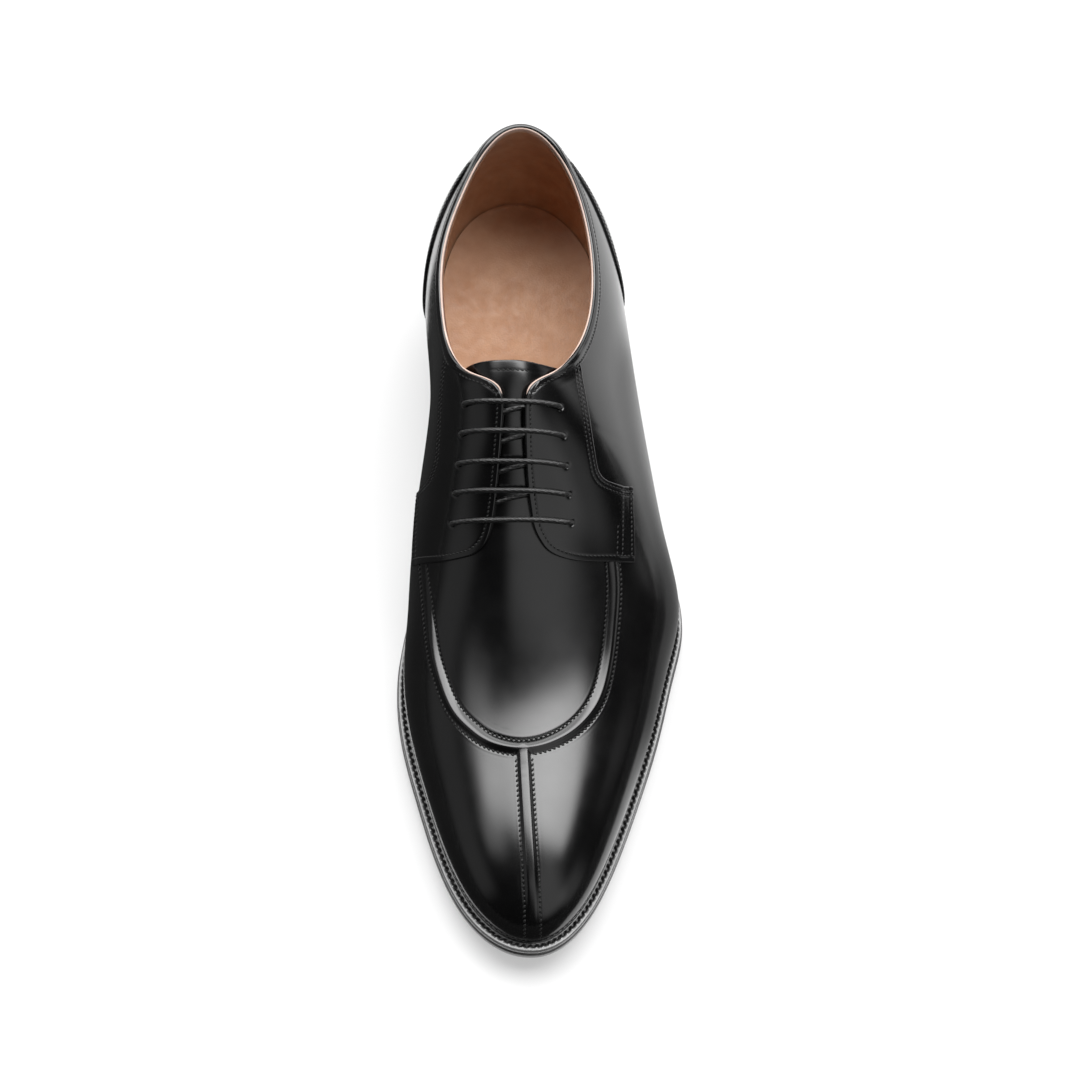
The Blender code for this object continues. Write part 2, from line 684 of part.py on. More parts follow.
def lace_point(med, lat, place, lift):
    """A point between a medial and a lateral hole, lifted off the last."""
    reach = (1 - med[1]) + (1 - lat[1])
    across = place * reach
    station = med[0] + (lat[0] - med[0]) * place
    if across < 1 - med[1]:
        return skin(turn_of(station), med[1] + across, MEDIAL, lift)
    return skin(turn_of(station), lat[1] + reach - across, LATERAL, lift)


def hole_bend(med, lat, place, start, end):
    """The lace turning through a hole, from one side of the wall to the other."""
    inward = 1.0 if place == 0.0 else -1.0
    bend = []
    for share in np.linspace(0, 1, BEND_POINTS):
        lift = start + (end - start) * share
        curl = HOLE_CURL * (2 * abs(share - 0.5)) ** 3
        bend.append(lace_point(med, lat, place + inward * curl, lift))
    return bend


def make_lace():
    """One round cord along the whole route."""
    route = lace_route()
    curve = bpy.data.curves.new("lace", "CURVE")
    curve.dimensions = "3D"
    curve.bevel_depth = LACE_RADIUS * MM
    curve.bevel_resolution = 2
    curve.use_fill_caps = True
    line = curve.splines.new("POLY")
    line.points.add(len(route) - 1)
    for point, place in zip(line.points, route):
        point.co = (*(place * MM), 1.0)
    return object_from("lace", curve, BLACK_CORD)


def centre_on_plan():
    """Moves the root so that the middle of the shoe's plan is at the origin."""
    view = bpy.context.evaluated_depsgraph_get()
    spots = []
    for part in PARTS.objects:
        if part != ROOT:
            spots += [vert.co[:2] for vert in part.evaluated_get(view).to_mesh().vertices]
    low = np.min(spots, axis=0)
    high = np.max(spots, axis=0)
    ROOT.location = (*(-(low + high) / 2), 0.0)


for old in list(bpy.data.objects):
    bpy.data.objects.remove(old)
PARTS = collection_named("derby_shoe")
CUTTERS = collection_named("cutters")
ROOT = bpy.data.objects.new("shoe_root", None)
PARTS.objects.link(ROOT)

make_eyelet_cutter()
make_outsole()
make_heel_stack()
make_heel_top_lift()
make_welt()
make_insole()
make_upper()
make_tongue()
make_facing("facing_lateral", FACING_LATERAL, LATERAL)
make_facing("facing_medial", FACING_MEDIAL, MEDIAL)
make_counter()
make_apron_seam()
make_toe_seam()
make_lace()
centre_on_plan()
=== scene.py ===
"""Looks of the left derby shoe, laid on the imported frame.

Sizes are in millimetres until a mesh is made, which is in metres, +Z up.  The toe points to -Y and
the outer (lateral) side of the foot is +X.  Every piece of the upper is worked out from one
surface, the last: a station runs from the heel's back to the toe, and a place runs over the foot
from 0 at the lateral feather line (where upper and welt meet) through 1 at the ridge on top of the
foot to 2 at the medial feather line.  A share is a place counted from the nearer feather line.
"""
from collections import namedtuple
from math import radians

import bmesh
import bpy
import numpy as np
from mathutils import Matrix, Vector


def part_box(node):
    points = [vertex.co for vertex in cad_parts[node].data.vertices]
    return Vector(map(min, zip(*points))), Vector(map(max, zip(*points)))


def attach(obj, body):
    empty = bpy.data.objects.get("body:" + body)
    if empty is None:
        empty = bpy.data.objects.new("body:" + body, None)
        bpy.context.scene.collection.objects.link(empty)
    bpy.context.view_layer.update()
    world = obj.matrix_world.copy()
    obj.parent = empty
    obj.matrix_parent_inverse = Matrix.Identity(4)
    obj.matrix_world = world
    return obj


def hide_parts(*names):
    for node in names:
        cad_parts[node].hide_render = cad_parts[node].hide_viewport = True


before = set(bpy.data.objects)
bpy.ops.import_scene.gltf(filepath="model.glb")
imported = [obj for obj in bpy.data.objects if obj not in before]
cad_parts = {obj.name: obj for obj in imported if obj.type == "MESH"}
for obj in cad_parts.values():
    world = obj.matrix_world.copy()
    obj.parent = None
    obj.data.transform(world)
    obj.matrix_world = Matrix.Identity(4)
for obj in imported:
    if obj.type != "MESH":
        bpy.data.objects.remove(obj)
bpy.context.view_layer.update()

MM = 0.001
LATERAL = 1
MEDIAL = -1
SIDES = (LATERAL, MEDIAL)
SIDE_NAMES = {LATERAL: "lat", MEDIAL: "med"}


def rows_of(kind, rows):
    """A table's rows, with names for their columns."""
    return [kind(*row) for row in rows]


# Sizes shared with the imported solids
LAST_LENGTH = 301.0
TUCK_SHARE = 0.14
WELT_TOP = 0.3
OUTSOLE_TOP = 3.6
OUTSOLE_THICK = 5.0
OUTSOLE_SWELL = 0.3
OUTSOLE_SET_IN = 1.2
INSOLE_RISE = 0.8
INSOLE_INSET = 2.7
SOCK_INSET = 2.15
HEEL_BREAST = 74.0
HEEL_TAPER = 2.0
TOP_LIFT_THICK = 6.0
TONGUE_THICK = 2.4
THROAT_END = 157.0
BACK_FADE = 75.0

# One row for each section of the last.  feather is its height over the floor; half_* the half
# widths at the feather and swell_* how far the wall swells past them, at the height belly; ridge_x
# and ridge_h place the ridge; wall_* and top_* say how upright the wall and how broad the top is.
Section = namedtuple("Section", "station feather half_lat half_med swell_lat swell_med "
                                "belly ridge_x ridge_h wall_lat wall_med top_lat top_med")
SECTIONS = rows_of(Section, [
    (0, 33, 0, 0, 0, 0, 18, 0, 74, 0.50, 0.50, 0.50, 0.50),
    (10, 32.6, 20, 20, 2, 2, 18, -0.5, 74, 0.50, 0.50, 0.50, 0.50),
    (30, 31.3, 31, 29.5, 3.5, 3, 18, -1.5, 75, 0.45, 0.52, 0.40, 0.52),
    (60, 28, 36, 32, 4, 4, 18, -3, 78, 0.42, 0.62, 0.38, 0.75),
    (95, 21.3, 40.8, 30.5, 3.8, 4, 17, -4.5, 83.2, 0.38, 0.72, 0.32, 0.80),
    (130, 14.2, 47.8, 34.2, 2.5, 5.2, 15, -5.5, 78.3, 0.42, 0.62, 0.42, 0.52),
    (145, 11.6, 51.6, 36.4, 1.6, 5, 14, -5.5, 69.9, 0.43, 0.60, 0.43, 0.52),
    (160, 9.8, 55.4, 38.8, 1.2, 4, 13, -5.5, 60.2, 0.45, 0.58, 0.44, 0.52),
    (175, 8.8, 56.6, 41.4, 1.2, 2.4, 12, -5, 52.7, 0.47, 0.57, 0.46, 0.52),
    (190, 8.5, 53.2, 43.7, 1.2, 1.5, 11, -4.5, 46.5, 0.50, 0.56, 0.48, 0.52),
    (215, 8.7, 46.8, 43.2, 1, 1, 10, -3.5, 38.3, 0.52, 0.55, 0.52, 0.54),
    (240, 10.2, 38.9, 37.9, 1, 1, 9, -2.5, 32.8, 0.54, 0.55, 0.55, 0.55),
    (265, 12.6, 29.7, 31, 0.8, 0.8, 8, -1.5, 27.4, 0.55, 0.55, 0.56, 0.56),
    (285, 15, 20.2, 22.4, 0.6, 0.6, 6, -0.5, 20, 0.55, 0.55, 0.56, 0.56),
    (301, 17.2, 0, 0, 0, 0, 0, 0, 0, 0.55, 0.55, 0.55, 0.55),
])

# How far the heel's back leans in, by height over the feather
BackCurve = namedtuple("BackCurve", "height inward")
BACK_CURVE = rows_of(BackCurve, [
    (0, 3), (18, 0), (62, 6.5), (100, 16),
])

# Edge of the opening: collar first, then the throat down to its closed end
Opening = namedtuple("Opening", "station share_lat share_med")
OPENING = rows_of(Opening, [
    (0, 0.645, 0.645), (8, 0.632, 0.635), (16, 0.600, 0.608), (30, 0.560, 0.565), (45, 0.537, 0.522),
    (60, 0.532, 0.497), (75, 0.552, 0.490), (88, 0.600, 0.512), (98, 0.662, 0.572), (106, 0.735, 0.655),
    (112, 0.820, 0.770), (116, 0.893, 0.880), (120, 0.930, 0.930), (128, 0.946, 0.936),
    (140, 0.945, 0.920), (150, 0.938, 0.905),
])

# How far welt and outsole stand out past the feather line
Ledge = namedtuple("Ledge", "station lat med")
LEDGES = rows_of(Ledge, [
    (0, 1.6, 1.6), (40, 1.6, 1.5), (80, 1.2, 0), (110, 1.4, -1), (140, 2.2, 0.4), (165, 3.2, 2.6),
    (190, 3.3, 3.3), (301, 3.4, 3.4),
])

# The facings run between a front edge (throat, then lower edge) and a rear seam
Strip = namedtuple("Strip", "front front_share rear rear_share")
FACING_LATERAL = rows_of(Strip, [
    (116, 0.893, 99, 0.668), (122, 0.940, 108, 0.672), (132, 0.947, 118, 0.669), (144, 0.942, 128, 0.667),
    (154, 0.928, 135, 0.662), (160, 0.918, 139, 0.655), (164.5, 0.895, 141, 0.635),
    (167.5, 0.863, 141.5, 0.605), (169, 0.800, 141.3, 0.570), (168.5, 0.705, 140.8, 0.530),
    (165.5, 0.540, 139.5, 0.485),
])
FACING_MEDIAL = rows_of(Strip, [
    (116, 0.880, 97, 0.545), (122, 0.936, 106, 0.510), (132, 0.930, 114, 0.492), (144, 0.913, 124, 0.488),
    (154, 0.895, 131, 0.485), (160, 0.875, 134, 0.465), (164.5, 0.843, 136, 0.435),
    (167, 0.790, 136.3, 0.400), (167.5, 0.720, 136, 0.365), (166, 0.560, 135.3, 0.320),
    (160, 0.290, 134, 0.260),
])
FACING_SET_BACK = 0.003

# Upper edge of the heel counter, the same on both sides
Counter = namedtuple("Counter", "station share")
COUNTER = rows_of(Counter, [
    (0, 0.615), (10, 0.600), (16, 0.540), (24, 0.462), (32, 0.405), (40, 0.345), (47, 0.280), (52, 0.205),
    (56, 0.110), (57.5, 0.060),
])
COUNTER_FOOT = 0.03

# Crest of the apron seam, from the lateral facing round the toe to the medial one
Crest = namedtuple("Crest", "side station share")
APRON = rows_of(Crest, [
    (LATERAL, 165, 0.645), (LATERAL, 175, 0.644), (LATERAL, 185, 0.643), (LATERAL, 195, 0.643),
    (LATERAL, 203, 0.650), (LATERAL, 211.5, 0.667), (LATERAL, 219, 0.703), (LATERAL, 226, 0.770),
    (LATERAL, 231.5, 0.866), (LATERAL, 234.5, 0.999), (MEDIAL, 232, 0.849), (MEDIAL, 226.5, 0.749),
    (MEDIAL, 221, 0.682), (MEDIAL, 214.5, 0.636), (MEDIAL, 206.5, 0.598), (MEDIAL, 198.5, 0.563),
    (MEDIAL, 189.5, 0.533), (MEDIAL, 179, 0.492), (MEDIAL, 166.5, 0.442), (MEDIAL, 160, 0.420),
])
TOE_SEAM_START = 235.9
TOE_SEAM_END = 300.6

# Lace holes, from the top pair to the bottom pair
Eyelet = namedtuple("Eyelet", "lat lat_share med med_share")
EYELETS = rows_of(Eyelet, [
    (122.5, 0.793, 120.5, 0.712), (131.5, 0.789, 129.5, 0.690), (140.5, 0.786, 138.5, 0.676),
    (149, 0.781, 147, 0.666), (157.5, 0.779, 156, 0.652),
])

# Tongue: half width across, measured from the ridge, and how far its face lies under the last
TongueRow = namedtuple("TongueRow", "station half_width drop")
TONGUE = rows_of(TongueRow, [
    (106, 21, 4.9), (106.8, 22.6, 4.8), (109, 23.4, 4.7), (116, 23, 4.7), (126, 21, 4.9), (136, 20, 5.4),
])
# The middle of the tongue's top edge dips this far; a short row of stitches lies under it
TONGUE_ARCH = 2.0
TONGUE_ROW = 3.2
TONGUE_ROW_SHARE = 0.34
TONGUE_GROOVE = 0.4
TONGUE_ROUND = 0.6

# Between the facings the plug sinks and runs on under them into the tongue
PlugRow = namedtuple("PlugRow", "station drop")
PLUG = rows_of(PlugRow, [
    (117, 0), (121, 4), (125, 5), (132, 4.5), (141, 3.7), (150, 2.7), (156, 1.7), (162, 0.6), (168, 0),
    (175, 0),
])
PLUG_TOP = 124.0
PLUG_BANK_START = 0.080
PLUG_BANK_END = 0.015

# Raised seams: the leather's height across them, by the way out from the crest.  The apron's goes
# from the plug (minus) to the vamp (plus), the toe's is the same on both sides.
Profile = namedtuple("Profile", "out lift")
APRON_PROFILE = rows_of(Profile, [
    (-4.6, 0.005), (-3.9, 0.005), (-3.1, 0.005), (-2.4, 0), (-1.9, -0.07), (-1.5, -0.20), (-1.2, -0.26),
    (-0.9, -0.13), (-0.6, 0.10), (-0.2, 0.36), (0.2, 0.58), (0.6, 0.76), (1, 0.90), (1.4, 0.99), (1.8, 1),
    (2.2, 0.90), (2.6, 0.70), (3, 0.45), (3.4, 0.22), (3.8, 0.07), (4.2, -0.02), (4.5, -0.05), (4.9, 0),
    (5.6, 0.005), (6.4, 0.005), (7.2, 0.005),
])
TOE_PROFILE = rows_of(Profile, [
    (0, 0.80), (0.7, 0.79), (1.2, 0.74), (1.6, 0.59), (1.95, 0.35), (2.3, 0.12), (2.6, 0), (2.9, -0.06),
    (3.4, 0), (4, 0.005), (4.8, 0.005), (6, 0.005),
])
# The toe seam flattens towards its end
TOE_FADE = (284.0, 300.0)
TOE_FADE_SHARE = 0.75
# and stands higher by this share where it leaves the apron's
TOE_START = (236.0, 245.0)
TOE_START_SHARE = 0.20
# The apron's inner arm lies lower towards the facing: between these stations, and by this share
ARM_FADE = (166.0, 210.0)
ARM_FADE_SHARE = 0.5
ARM_ACROSS = (5.0, 15.0)
# How softly one seam runs into the other, how high it has to be for that, and a height for none
SEAM_BLEND = 0.3
SEAM_RISE = 0.3
NO_SEAM = -1.0

# Fine wrinkles across the toe seam, by station
TOE_WRINKLES = (242.6, 244.4, 247.2)
WRINKLE_DEPTH = 0.035
WRINKLE_WIDTH = 0.5
WRINKLE_REACH = 1.6
APRON_STITCH_IN = -1.4
APRON_STITCH_OUT = 4.4
TOE_STITCH_OUT = 2.9
TOE_STITCH_START = 239.2
# The leather under a seam is let in, this deep and this far out on either side
Trough = namedtuple("Trough", "depth inner outer")
APRON_TROUGH = Trough(0.62, 3.0, 5.6)
TOE_TROUGH = Trough(0.72, 4.4, 4.4)

# Overlaid leather: how thick it is and how its edges are rounded
FACING_LIFT = 1.1
FACING_ROUND = 0.5
COUNTER_LIFT = 0.8
COUNTER_ROUND = 0.4
BAND_LIFT = 0.45
# The band from its lower edge up to the collar, with the groove of its row of stitches
BAND_ROW = 2.8
BAND_PROFILE = rows_of(Profile, [
    (3.95, -0.2), (3.9, 0.1), (3.75, 0.33), (3.5, 0.45), (3.15, 0.42), (BAND_ROW, 0.29), (2.4, 0.43),
    (1.9, 0.57), (1.3, 0.61), (0.8, 0.55), (0.3, 0.45),
])
BAND_END = 114.0
BAND_CLIMB = (94.0, 101.0)
BAND_OVER_COUNTER = (8.0, 20.0)
# Towards the throat the band narrows by this share and sinks into the facing this far under the last
BAND_NARROWS = (98.0, 112.0)
BAND_NARROW_SHARE = 0.45
BAND_SINKS = (103.0, 112.5)
BAND_SUNK = -0.35
BAND_END_RADIUS = 0.15
SKIN_RIM = 0.6
SKIN_RIM_FADE = (106.0, 116.0)
SKIN_RIM_END = 0.12
LINING_RIM = 0.42
LINING_PEEK = 0.66
LINING_DROP = 0.35
LINING_END = 122.0
# The lining's edge stands lower where the facing starts, and goes under it at the throat
LINING_SINKS = ((99.0, 109.0, 0.34), (117.5, 122.0, 0.7))
LINING_TUCK = 0.06
LINING_TUCKS = (112.0, 120.0)
LINING_FOOT = 1.5
EDGE_FOOT = -0.4
FACING_FOOT = -1.6
# The facing is thinned towards the collar, to this share of its lift, over this length, and less so
# at the throat, between these stations
FACING_SKIVE = 0.3
FACING_SKIVE_LENGTH = 6.0
THROAT_SKIVE = 0.9
THROAT_SKIVE_AT = (101.0, 111.0)
# Rows of stitches, by how far they lie in from an edge, and the groove each one pulls
FACING_FRONT_ROW = 1.9
FACING_TOP_ROW = 1.7
FACING_TOP_ROW_START = 104.0
FACING_REAR_ROWS = (1.2, 2.9)
TAB_ROWS = (1.3, 5.6)
TAB_SHORT_ROW = 8.0
TAB_SLOT_DEPTH = 0.22
TAB_SLOT_EDGE = 0.8
# Columns of the facing left free at the ends of the tab's rows, and a gap where two rows would cross
TAB_TRIM = 12
ROW_GAP = 0.3
# Stations along which the facing's top edge is looked for, and the angle at which its edges stay sharp
FACING_TOP = (94.0, 118.0, 0.2)
FACING_SHARP = 35
COUNTER_ROWS = (1.2, 2.7)
COUNTER_TRIM = 4
# The counter's rows start where it comes out from under the band
COUNTER_SEWN_FROM = 13.5
GROOVE_DEPTH = 0.08
GROOVE_WIDTH = 0.45
EYELET_DIMPLE = 0.6
EYELET_REACH = 1.6

# Stitch: pitch, half length, half width, half height, how far its middle stands off the leather, and
# how much it slants across its row
Stitch = namedtuple("Stitch", "pitch long wide high lift slant")
UPPER_STITCH = Stitch(1.65, 0.68, 0.32, 0.28, 0.05, 0.30)
SEAM_STITCH = Stitch(1.8, 0.76, 0.42, 0.34, 0.05, 0.70)
WELT_STITCH = Stitch(2.7, 0.62, 0.40, 0.30, -0.05, 0.30)
# Rings along a stitch: a share of its half length and of its girth.  It runs with the row as seen
# this share of a step before and behind it.
Ring = namedtuple("Ring", "along girth")
STITCH_RINGS = rows_of(Ring, [
    (-1, 0.25), (-0.8, 0.75), (-0.35, 1), (0.35, 1), (0.8, 0.75), (1, 0.25),
])
STITCH_SIDES = 6
STITCH_LOOK = 0.4

# Welt across, from the upper out: a share of the way in, how far under the welt's top, and how much
# of a bar stands there.  The bars are pressed between the stitches in the channel.
WeltRow = namedtuple("WeltRow", "inward below bar")
WELT_PROFILE = rows_of(WeltRow, [
    (1, 0.3, 0), (0.85, 0.7, 0), (0.78, 0.95, 0), (0.70, 0.98, 0), (0.62, 0.98, 0.15), (0.56, 0.98, 0.5),
    (0.50, 0.98, 0.85), (0.45, 0.95, 1), (0.41, 0.85, 0.9), (0.38, 0.62, 0.7), (0.35, 0.28, 0.4),
    (0.32, 0.10, 0.1), (0.27, 0.04, 0), (0.18, 0.02, 0), (0.10, 0.04, 0), (0.05, 0.12, 0), (0.01, 0.4, 0),
    (-0.02, 1.3, 0), (0, 2.4, 0), (0.06, 2.85, 0), (0.25, 3, 0),
])
LIP_STARTS = 8
BAR_PITCH = 2.7
BAR_HEIGHT = 0.75
BAR_WIDTH = 0.20
BAR_SLANT = 0.45
BAR_COLUMNS = 12
STITCH_CHANNEL = 0.50
STITCH_BELOW = 0.8
# How far the welt reaches in under the upper, and how wide it is at least
WELT_UNDER_UPPER = 0.9
WELT_LEAST = 1.2

# Sides of the sole's layers: how far inside the welt's edge, or the heel's, a row lies, and its share
# of the way down.  The top lift's rows have heights over the floor instead.
SideRow = namedtuple("SideRow", "inward down")
OUTSOLE_SIDE = rows_of(SideRow, [
    (0.6, 0), (0.25, 0), (0, 0.03), (-0.2, 0.08), (-0.3, 0.16), (-0.3, 0.45), (-0.22, 0.6), (0, 0.74),
    (0.3, 0.86), (0.7, 0.95), (OUTSOLE_SET_IN, 1),
])
LIFT_SIDE = rows_of(SideRow, [
    (0.12, 0), (0.03, 0.03), (0, 0.08), (0, 0.92), (0.03, 0.97), (0.12, 1),
])
TOP_LIFT_SIDE = rows_of(SideRow, [
    (0.3, TOP_LIFT_THICK), (0.05, 5.75), (0, 5.4), (0.15, 1), (0.3, 0.4), (0.7, 0),
])
LIFTS = 4
SOLE_SHARP = 50
# The sock is dished, ends short of the toe by this turn, and has its underside this far down
SOCK_DISH = 1.6
SOCK_DIP = 0.4
SOCK_END = 0.03
SOCK_UNDERSIDE = 3.2

# Lace
LACE_RADIUS = 1.03
LACE_OVER = 2.3
LACE_UNDER = -3.4
LACE_REST = 2.3
LACE_TOP = -0.9
LACE_SAG = 1.1
LACE_CURL = 0.038
# The second end runs up under the outer facing, this share of the girth beside the holes
LACE_END_ASIDE = 0.05
# Bars and runs start and end at these shares of the way between holes; points along each part
LACE_BETWEEN = (0.14, 0.86)
LACE_POINTS = 9
LACE_BEND_POINTS = 7
LACE_END_POINTS = 14
LACE_FINE = 4000
LACE_ASIDE = (0.0, 1.0, 0.3)
BRAID_TURNS = 6
BRAID_PITCH = 2.6
BRAID_RELIEF = 0.10

# The middle of a noise's range, which materials spread to their two ends
NOISE_RANGE = (0.3, 0.7)

# How finely the surface is sampled and smoothed
GRID_TURNS = 721
GRID_PLACES = 561
SMOOTH_REACH = 14
BELL_REACH = 2.5
# Positions on the surface's grid stop just short of its last line
JUST_INSIDE = 1.0001
OUTLINE_TURNS = 400
CREST_POINTS = 800
# Places over the foot that the tongue may reach, and how many of them are tried
TONGUE_PLACES = (0.3, 1.7, 281)
# Points looked at together for the nearest seam, and a distance for those that are near none
SEAM_BATCH = 2000
SEAM_FAR = 1000.0
# Corners closer than this, in metres, are joined where a piece is closed
JOIN_WITHIN = 0.00002
# Rows and columns of the pieces, and steps along lines in millimetres
SKIN_ROWS = 236
SKIN_COLUMNS = 92
LINING_COLUMNS = 46
CLOSE_ROWS = ((104, 123, 0.8), (150, THROAT_END, 0.5))
COLLAR_ROWS = 110
COLLAR_END = 96.0
THROAT_START = 96.8
THROAT_STEP = 0.5
RIM_ROWS = 8
PANEL_EDGE_ROWS = 5
FACING_GRID = (230, 72)
COUNTER_GRID = (181, 50)
TONGUE_GRID = (90, 44)
APRON_COLUMNS = 60
APRON_STEP = 0.6
TOE_GRID = (140, 49)
WELT_TURNS = 1500
SOLE_TURNS = 420
HEEL_TURNS = 150
SOCK_GRID = (200, 44)
CAP_COLUMNS = 12
LACE_STEP = 0.32
LACE_SIDES = 24


def spline(knots, values):
    """A natural cubic spline through the values, as a function."""
    t = np.asarray(knots, float)
    y = np.asarray(values, float)
    h = np.diff(t)
    count = len(t)
    matrix = np.eye(count)
    right = np.zeros(count)
    for i in range(1, count - 1):
        matrix[i, i - 1:i + 2] = h[i - 1], 2 * (h[i - 1] + h[i]), h[i]
        right[i] = 6 * ((y[i + 1] - y[i]) / h[i] - (y[i] - y[i - 1]) / h[i - 1])
    bend = np.linalg.solve(matrix, right)

    def value(x):
        x = np.asarray(x, float)
        i = np.clip(np.searchsorted(t, x) - 1, 0, count - 2)
        a = t[i + 1] - x
        b = x - t[i]
        curved = (bend[i] * a ** 3 + bend[i + 1] * b ** 3) / (6 * h[i])
        before = y[i] / h[i] - bend[i] * h[i] / 6
        after = y[i + 1] / h[i] - bend[i + 1] * h[i] / 6
        return curved + before * a + after * b

    return value


def turn_of(station):
    """The angle whose cosine runs along the last, so that heel and toe end round."""
    return np.arccos(np.clip(1 - 2 * np.asarray(station, float) / LAST_LENGTH, -1, 1))


def station_of(turn):
    """The station at an angle along the last."""
    return LAST_LENGTH * (1 - np.cos(turn)) / 2


def columns(rows):
    """Each column of a table, as a list under its name."""
    return {name: [getattr(row, name) for row in rows] for name in rows[0]._fields}


def curve(rows, name, along="station"):
    """One column of a table as a spline along another."""
    table = columns(rows)
    return spline(table[along], table[name])


def unit(vectors):
    """Vectors of length one."""
    return vectors / np.maximum(np.linalg.norm(vectors, axis=-1, keepdims=True), 1e-9)


def place_of(share, side):
    """The place over the foot of a share on one side."""
    return share if side == LATERAL else 2 - share


SECTION_AT = {name: spline(turn_of(columns(SECTIONS)["station"]), column)
              for name, column in columns(SECTIONS).items() if name != "station"}
BACK_AT = curve(BACK_CURVE, "inward", "height")


def raw_last(turn, share, side):
    """The last before it is smoothed: x across, y to the heel, z up."""
    turn, share = np.broadcast_arrays(np.asarray(turn, float), np.asarray(share, float))
    name = SIDE_NAMES[side]
    half = SECTION_AT["half_" + name](turn)
    swell = SECTION_AT["swell_" + name](turn)
    belly = SECTION_AT["belly"](turn)
    height = SECTION_AT["ridge_h"](turn)
    ridge = SECTION_AT["ridge_x"](turn) * side
    wide = half + swell
    low = np.clip(share / TUCK_SHARE, 0, 1)
    q = np.clip((share - TUCK_SHARE) / (1 - TUCK_SHARE), 0, 1)
    start = (1 - q) ** 3
    wall = 3 * q * (1 - q) ** 2
    top = 3 * q * q * (1 - q)
    end = q ** 3
    wall_h = belly + SECTION_AT["wall_" + name](turn) * (height - belly)
    top_x = ridge + SECTION_AT["top_" + name](turn) * (wide - ridge)
    x = np.where(share < TUCK_SHARE, half + swell * np.sin(low * np.pi / 2),
                 (start + wall) * wide + top * top_x + end * ridge)
    h = np.where(share < TUCK_SHARE, belly * low, start * belly + wall * wall_h + (top + end) * height)
    station = station_of(turn)
    fade = np.clip(1 - station / BACK_FADE, 0, 1) ** 2
    y = -(station + BACK_AT(np.clip(h, 0, BACK_CURVE[-1].height)) * fade)
    return np.stack([x * side, y, h + SECTION_AT["feather"](turn)], -1)


def smoothed(points, reach):
    """Points of a grid averaged with their neighbours across the foot, the two edges kept."""
    before = 2 * points[:, :1] - points[:, reach:0:-1]
    after = 2 * points[:, -1:] - points[:, -2:-reach - 2:-1]
    padded = np.concatenate([before, points, after], 1)
    weights = np.exp(-0.5 * (np.linspace(-BELL_REACH, BELL_REACH, 2 * reach + 1)) ** 2)
    weights /= weights.sum()
    total = np.zeros_like(points)
    for shift, weight in enumerate(weights):
        total += weight * padded[:, shift:shift + points.shape[1]]
    return total


class Surface:
    """The last as a fine grid of points with their tangents and outward normals."""

    def __init__(self):
        turns = np.linspace(0, np.pi, GRID_TURNS)[:, None]
        places = np.linspace(0, 2, GRID_PLACES)[None, :]
        lateral = raw_last(turns, np.minimum(places, 1), LATERAL)
        medial = raw_last(turns, np.minimum(2 - places, 1), MEDIAL)
        raw = np.where((places <= 1)[..., None], lateral, medial)
        points = smoothed(raw, SMOOTH_REACH)
        along = np.gradient(points, axis=0) * (GRID_TURNS - 1) / np.pi
        across = np.gradient(points, axis=1) * (GRID_PLACES - 1) / 2
        out = unit(np.cross(across, along))
        out[-1] = out[-2]
        self.table = np.concatenate([points, out, along, across], -1)

    def look_up(self, turn, place):
        """Everything the table holds at a turn and a place, between its corners."""
        turn, place = np.broadcast_arrays(np.asarray(turn, float), np.asarray(place, float))
        row = np.clip(turn / np.pi * (GRID_TURNS - 1), 0, GRID_TURNS - JUST_INSIDE)
        col = np.clip(place / 2 * (GRID_PLACES - 1), 0, GRID_PLACES - JUST_INSIDE)
        i = row.astype(int)
        j = col.astype(int)
        f = (row - i)[..., None]
        g = (col - j)[..., None]
        near = self.table[i, j] * (1 - g) + self.table[i, j + 1] * g
        far = self.table[i + 1, j] * (1 - g) + self.table[i + 1, j + 1] * g
        return near * (1 - f) + far * f

    def at(self, station, place):
        """Points of the last and their outward directions."""
        found = self.look_up(turn_of(station), place)
        return found[..., :3], unit(found[..., 3:6])

    def slide(self, station, place, heading, distance, steps=5):
        """Stations and places reached by walking over the last along headings in space."""
        turn = turn_of(station)
        place = np.asarray(place, float)
        step = heading * (np.asarray(distance, float) / steps)[..., None]
        for _ in range(steps):
            found = self.look_up(turn, place)
            along = found[..., 6:9]
            across = found[..., 9:12]
            aa = (along * along).sum(-1)
            ac = (along * across).sum(-1)
            cc = (across * across).sum(-1)
            sa = (step * along).sum(-1)
            sc = (step * across).sum(-1)
            size = aa * cc - ac * ac
            turn = turn + (sa * cc - sc * ac) / size
            place = place + (sc * aa - sa * ac) / size
        return station_of(turn), place


LAST = Surface()
UP = np.array([0.0, 0.0, 1.0])


def opening_share(station, side):
    """Share of the opening's edge at a station; 1 past the throat's end."""
    last_station = OPENING[-1].station
    edge = curve(OPENING, "share_" + SIDE_NAMES[side])(np.minimum(station, last_station))
    closing = np.clip((station - last_station) / (THROAT_END - last_station), 0, 1)
    return 1 - (1 - edge) * np.sqrt(1 - closing ** 2)


def feather_line(turns, side, offset):
    """Plan of the feather line, moved out by offset."""
    step = 0.001
    here = raw_last(turns, 0.0, side)
    ahead = raw_last(turns + step, 0.0, side) - raw_last(turns - step, 0.0, side)
    out = unit(np.stack([-ahead[:, 1], ahead[:, 0]], -1) * side)
    line = here.copy()
    line[:, :2] += out * np.asarray(offset)[:, None]
    return line


def ledge(turns, side):
    """How far the welt stands out at the turns."""
    table = columns(LEDGES)
    return np.interp(station_of(turns), table["station"], table[SIDE_NAMES[side]])


def outsole_edge(turns, side, past=0.0):
    """The outsole's outer edge on one side, or a line some way past it."""
    return feather_line(turns, side, ledge(turns, side) + OUTSOLE_SWELL + past)


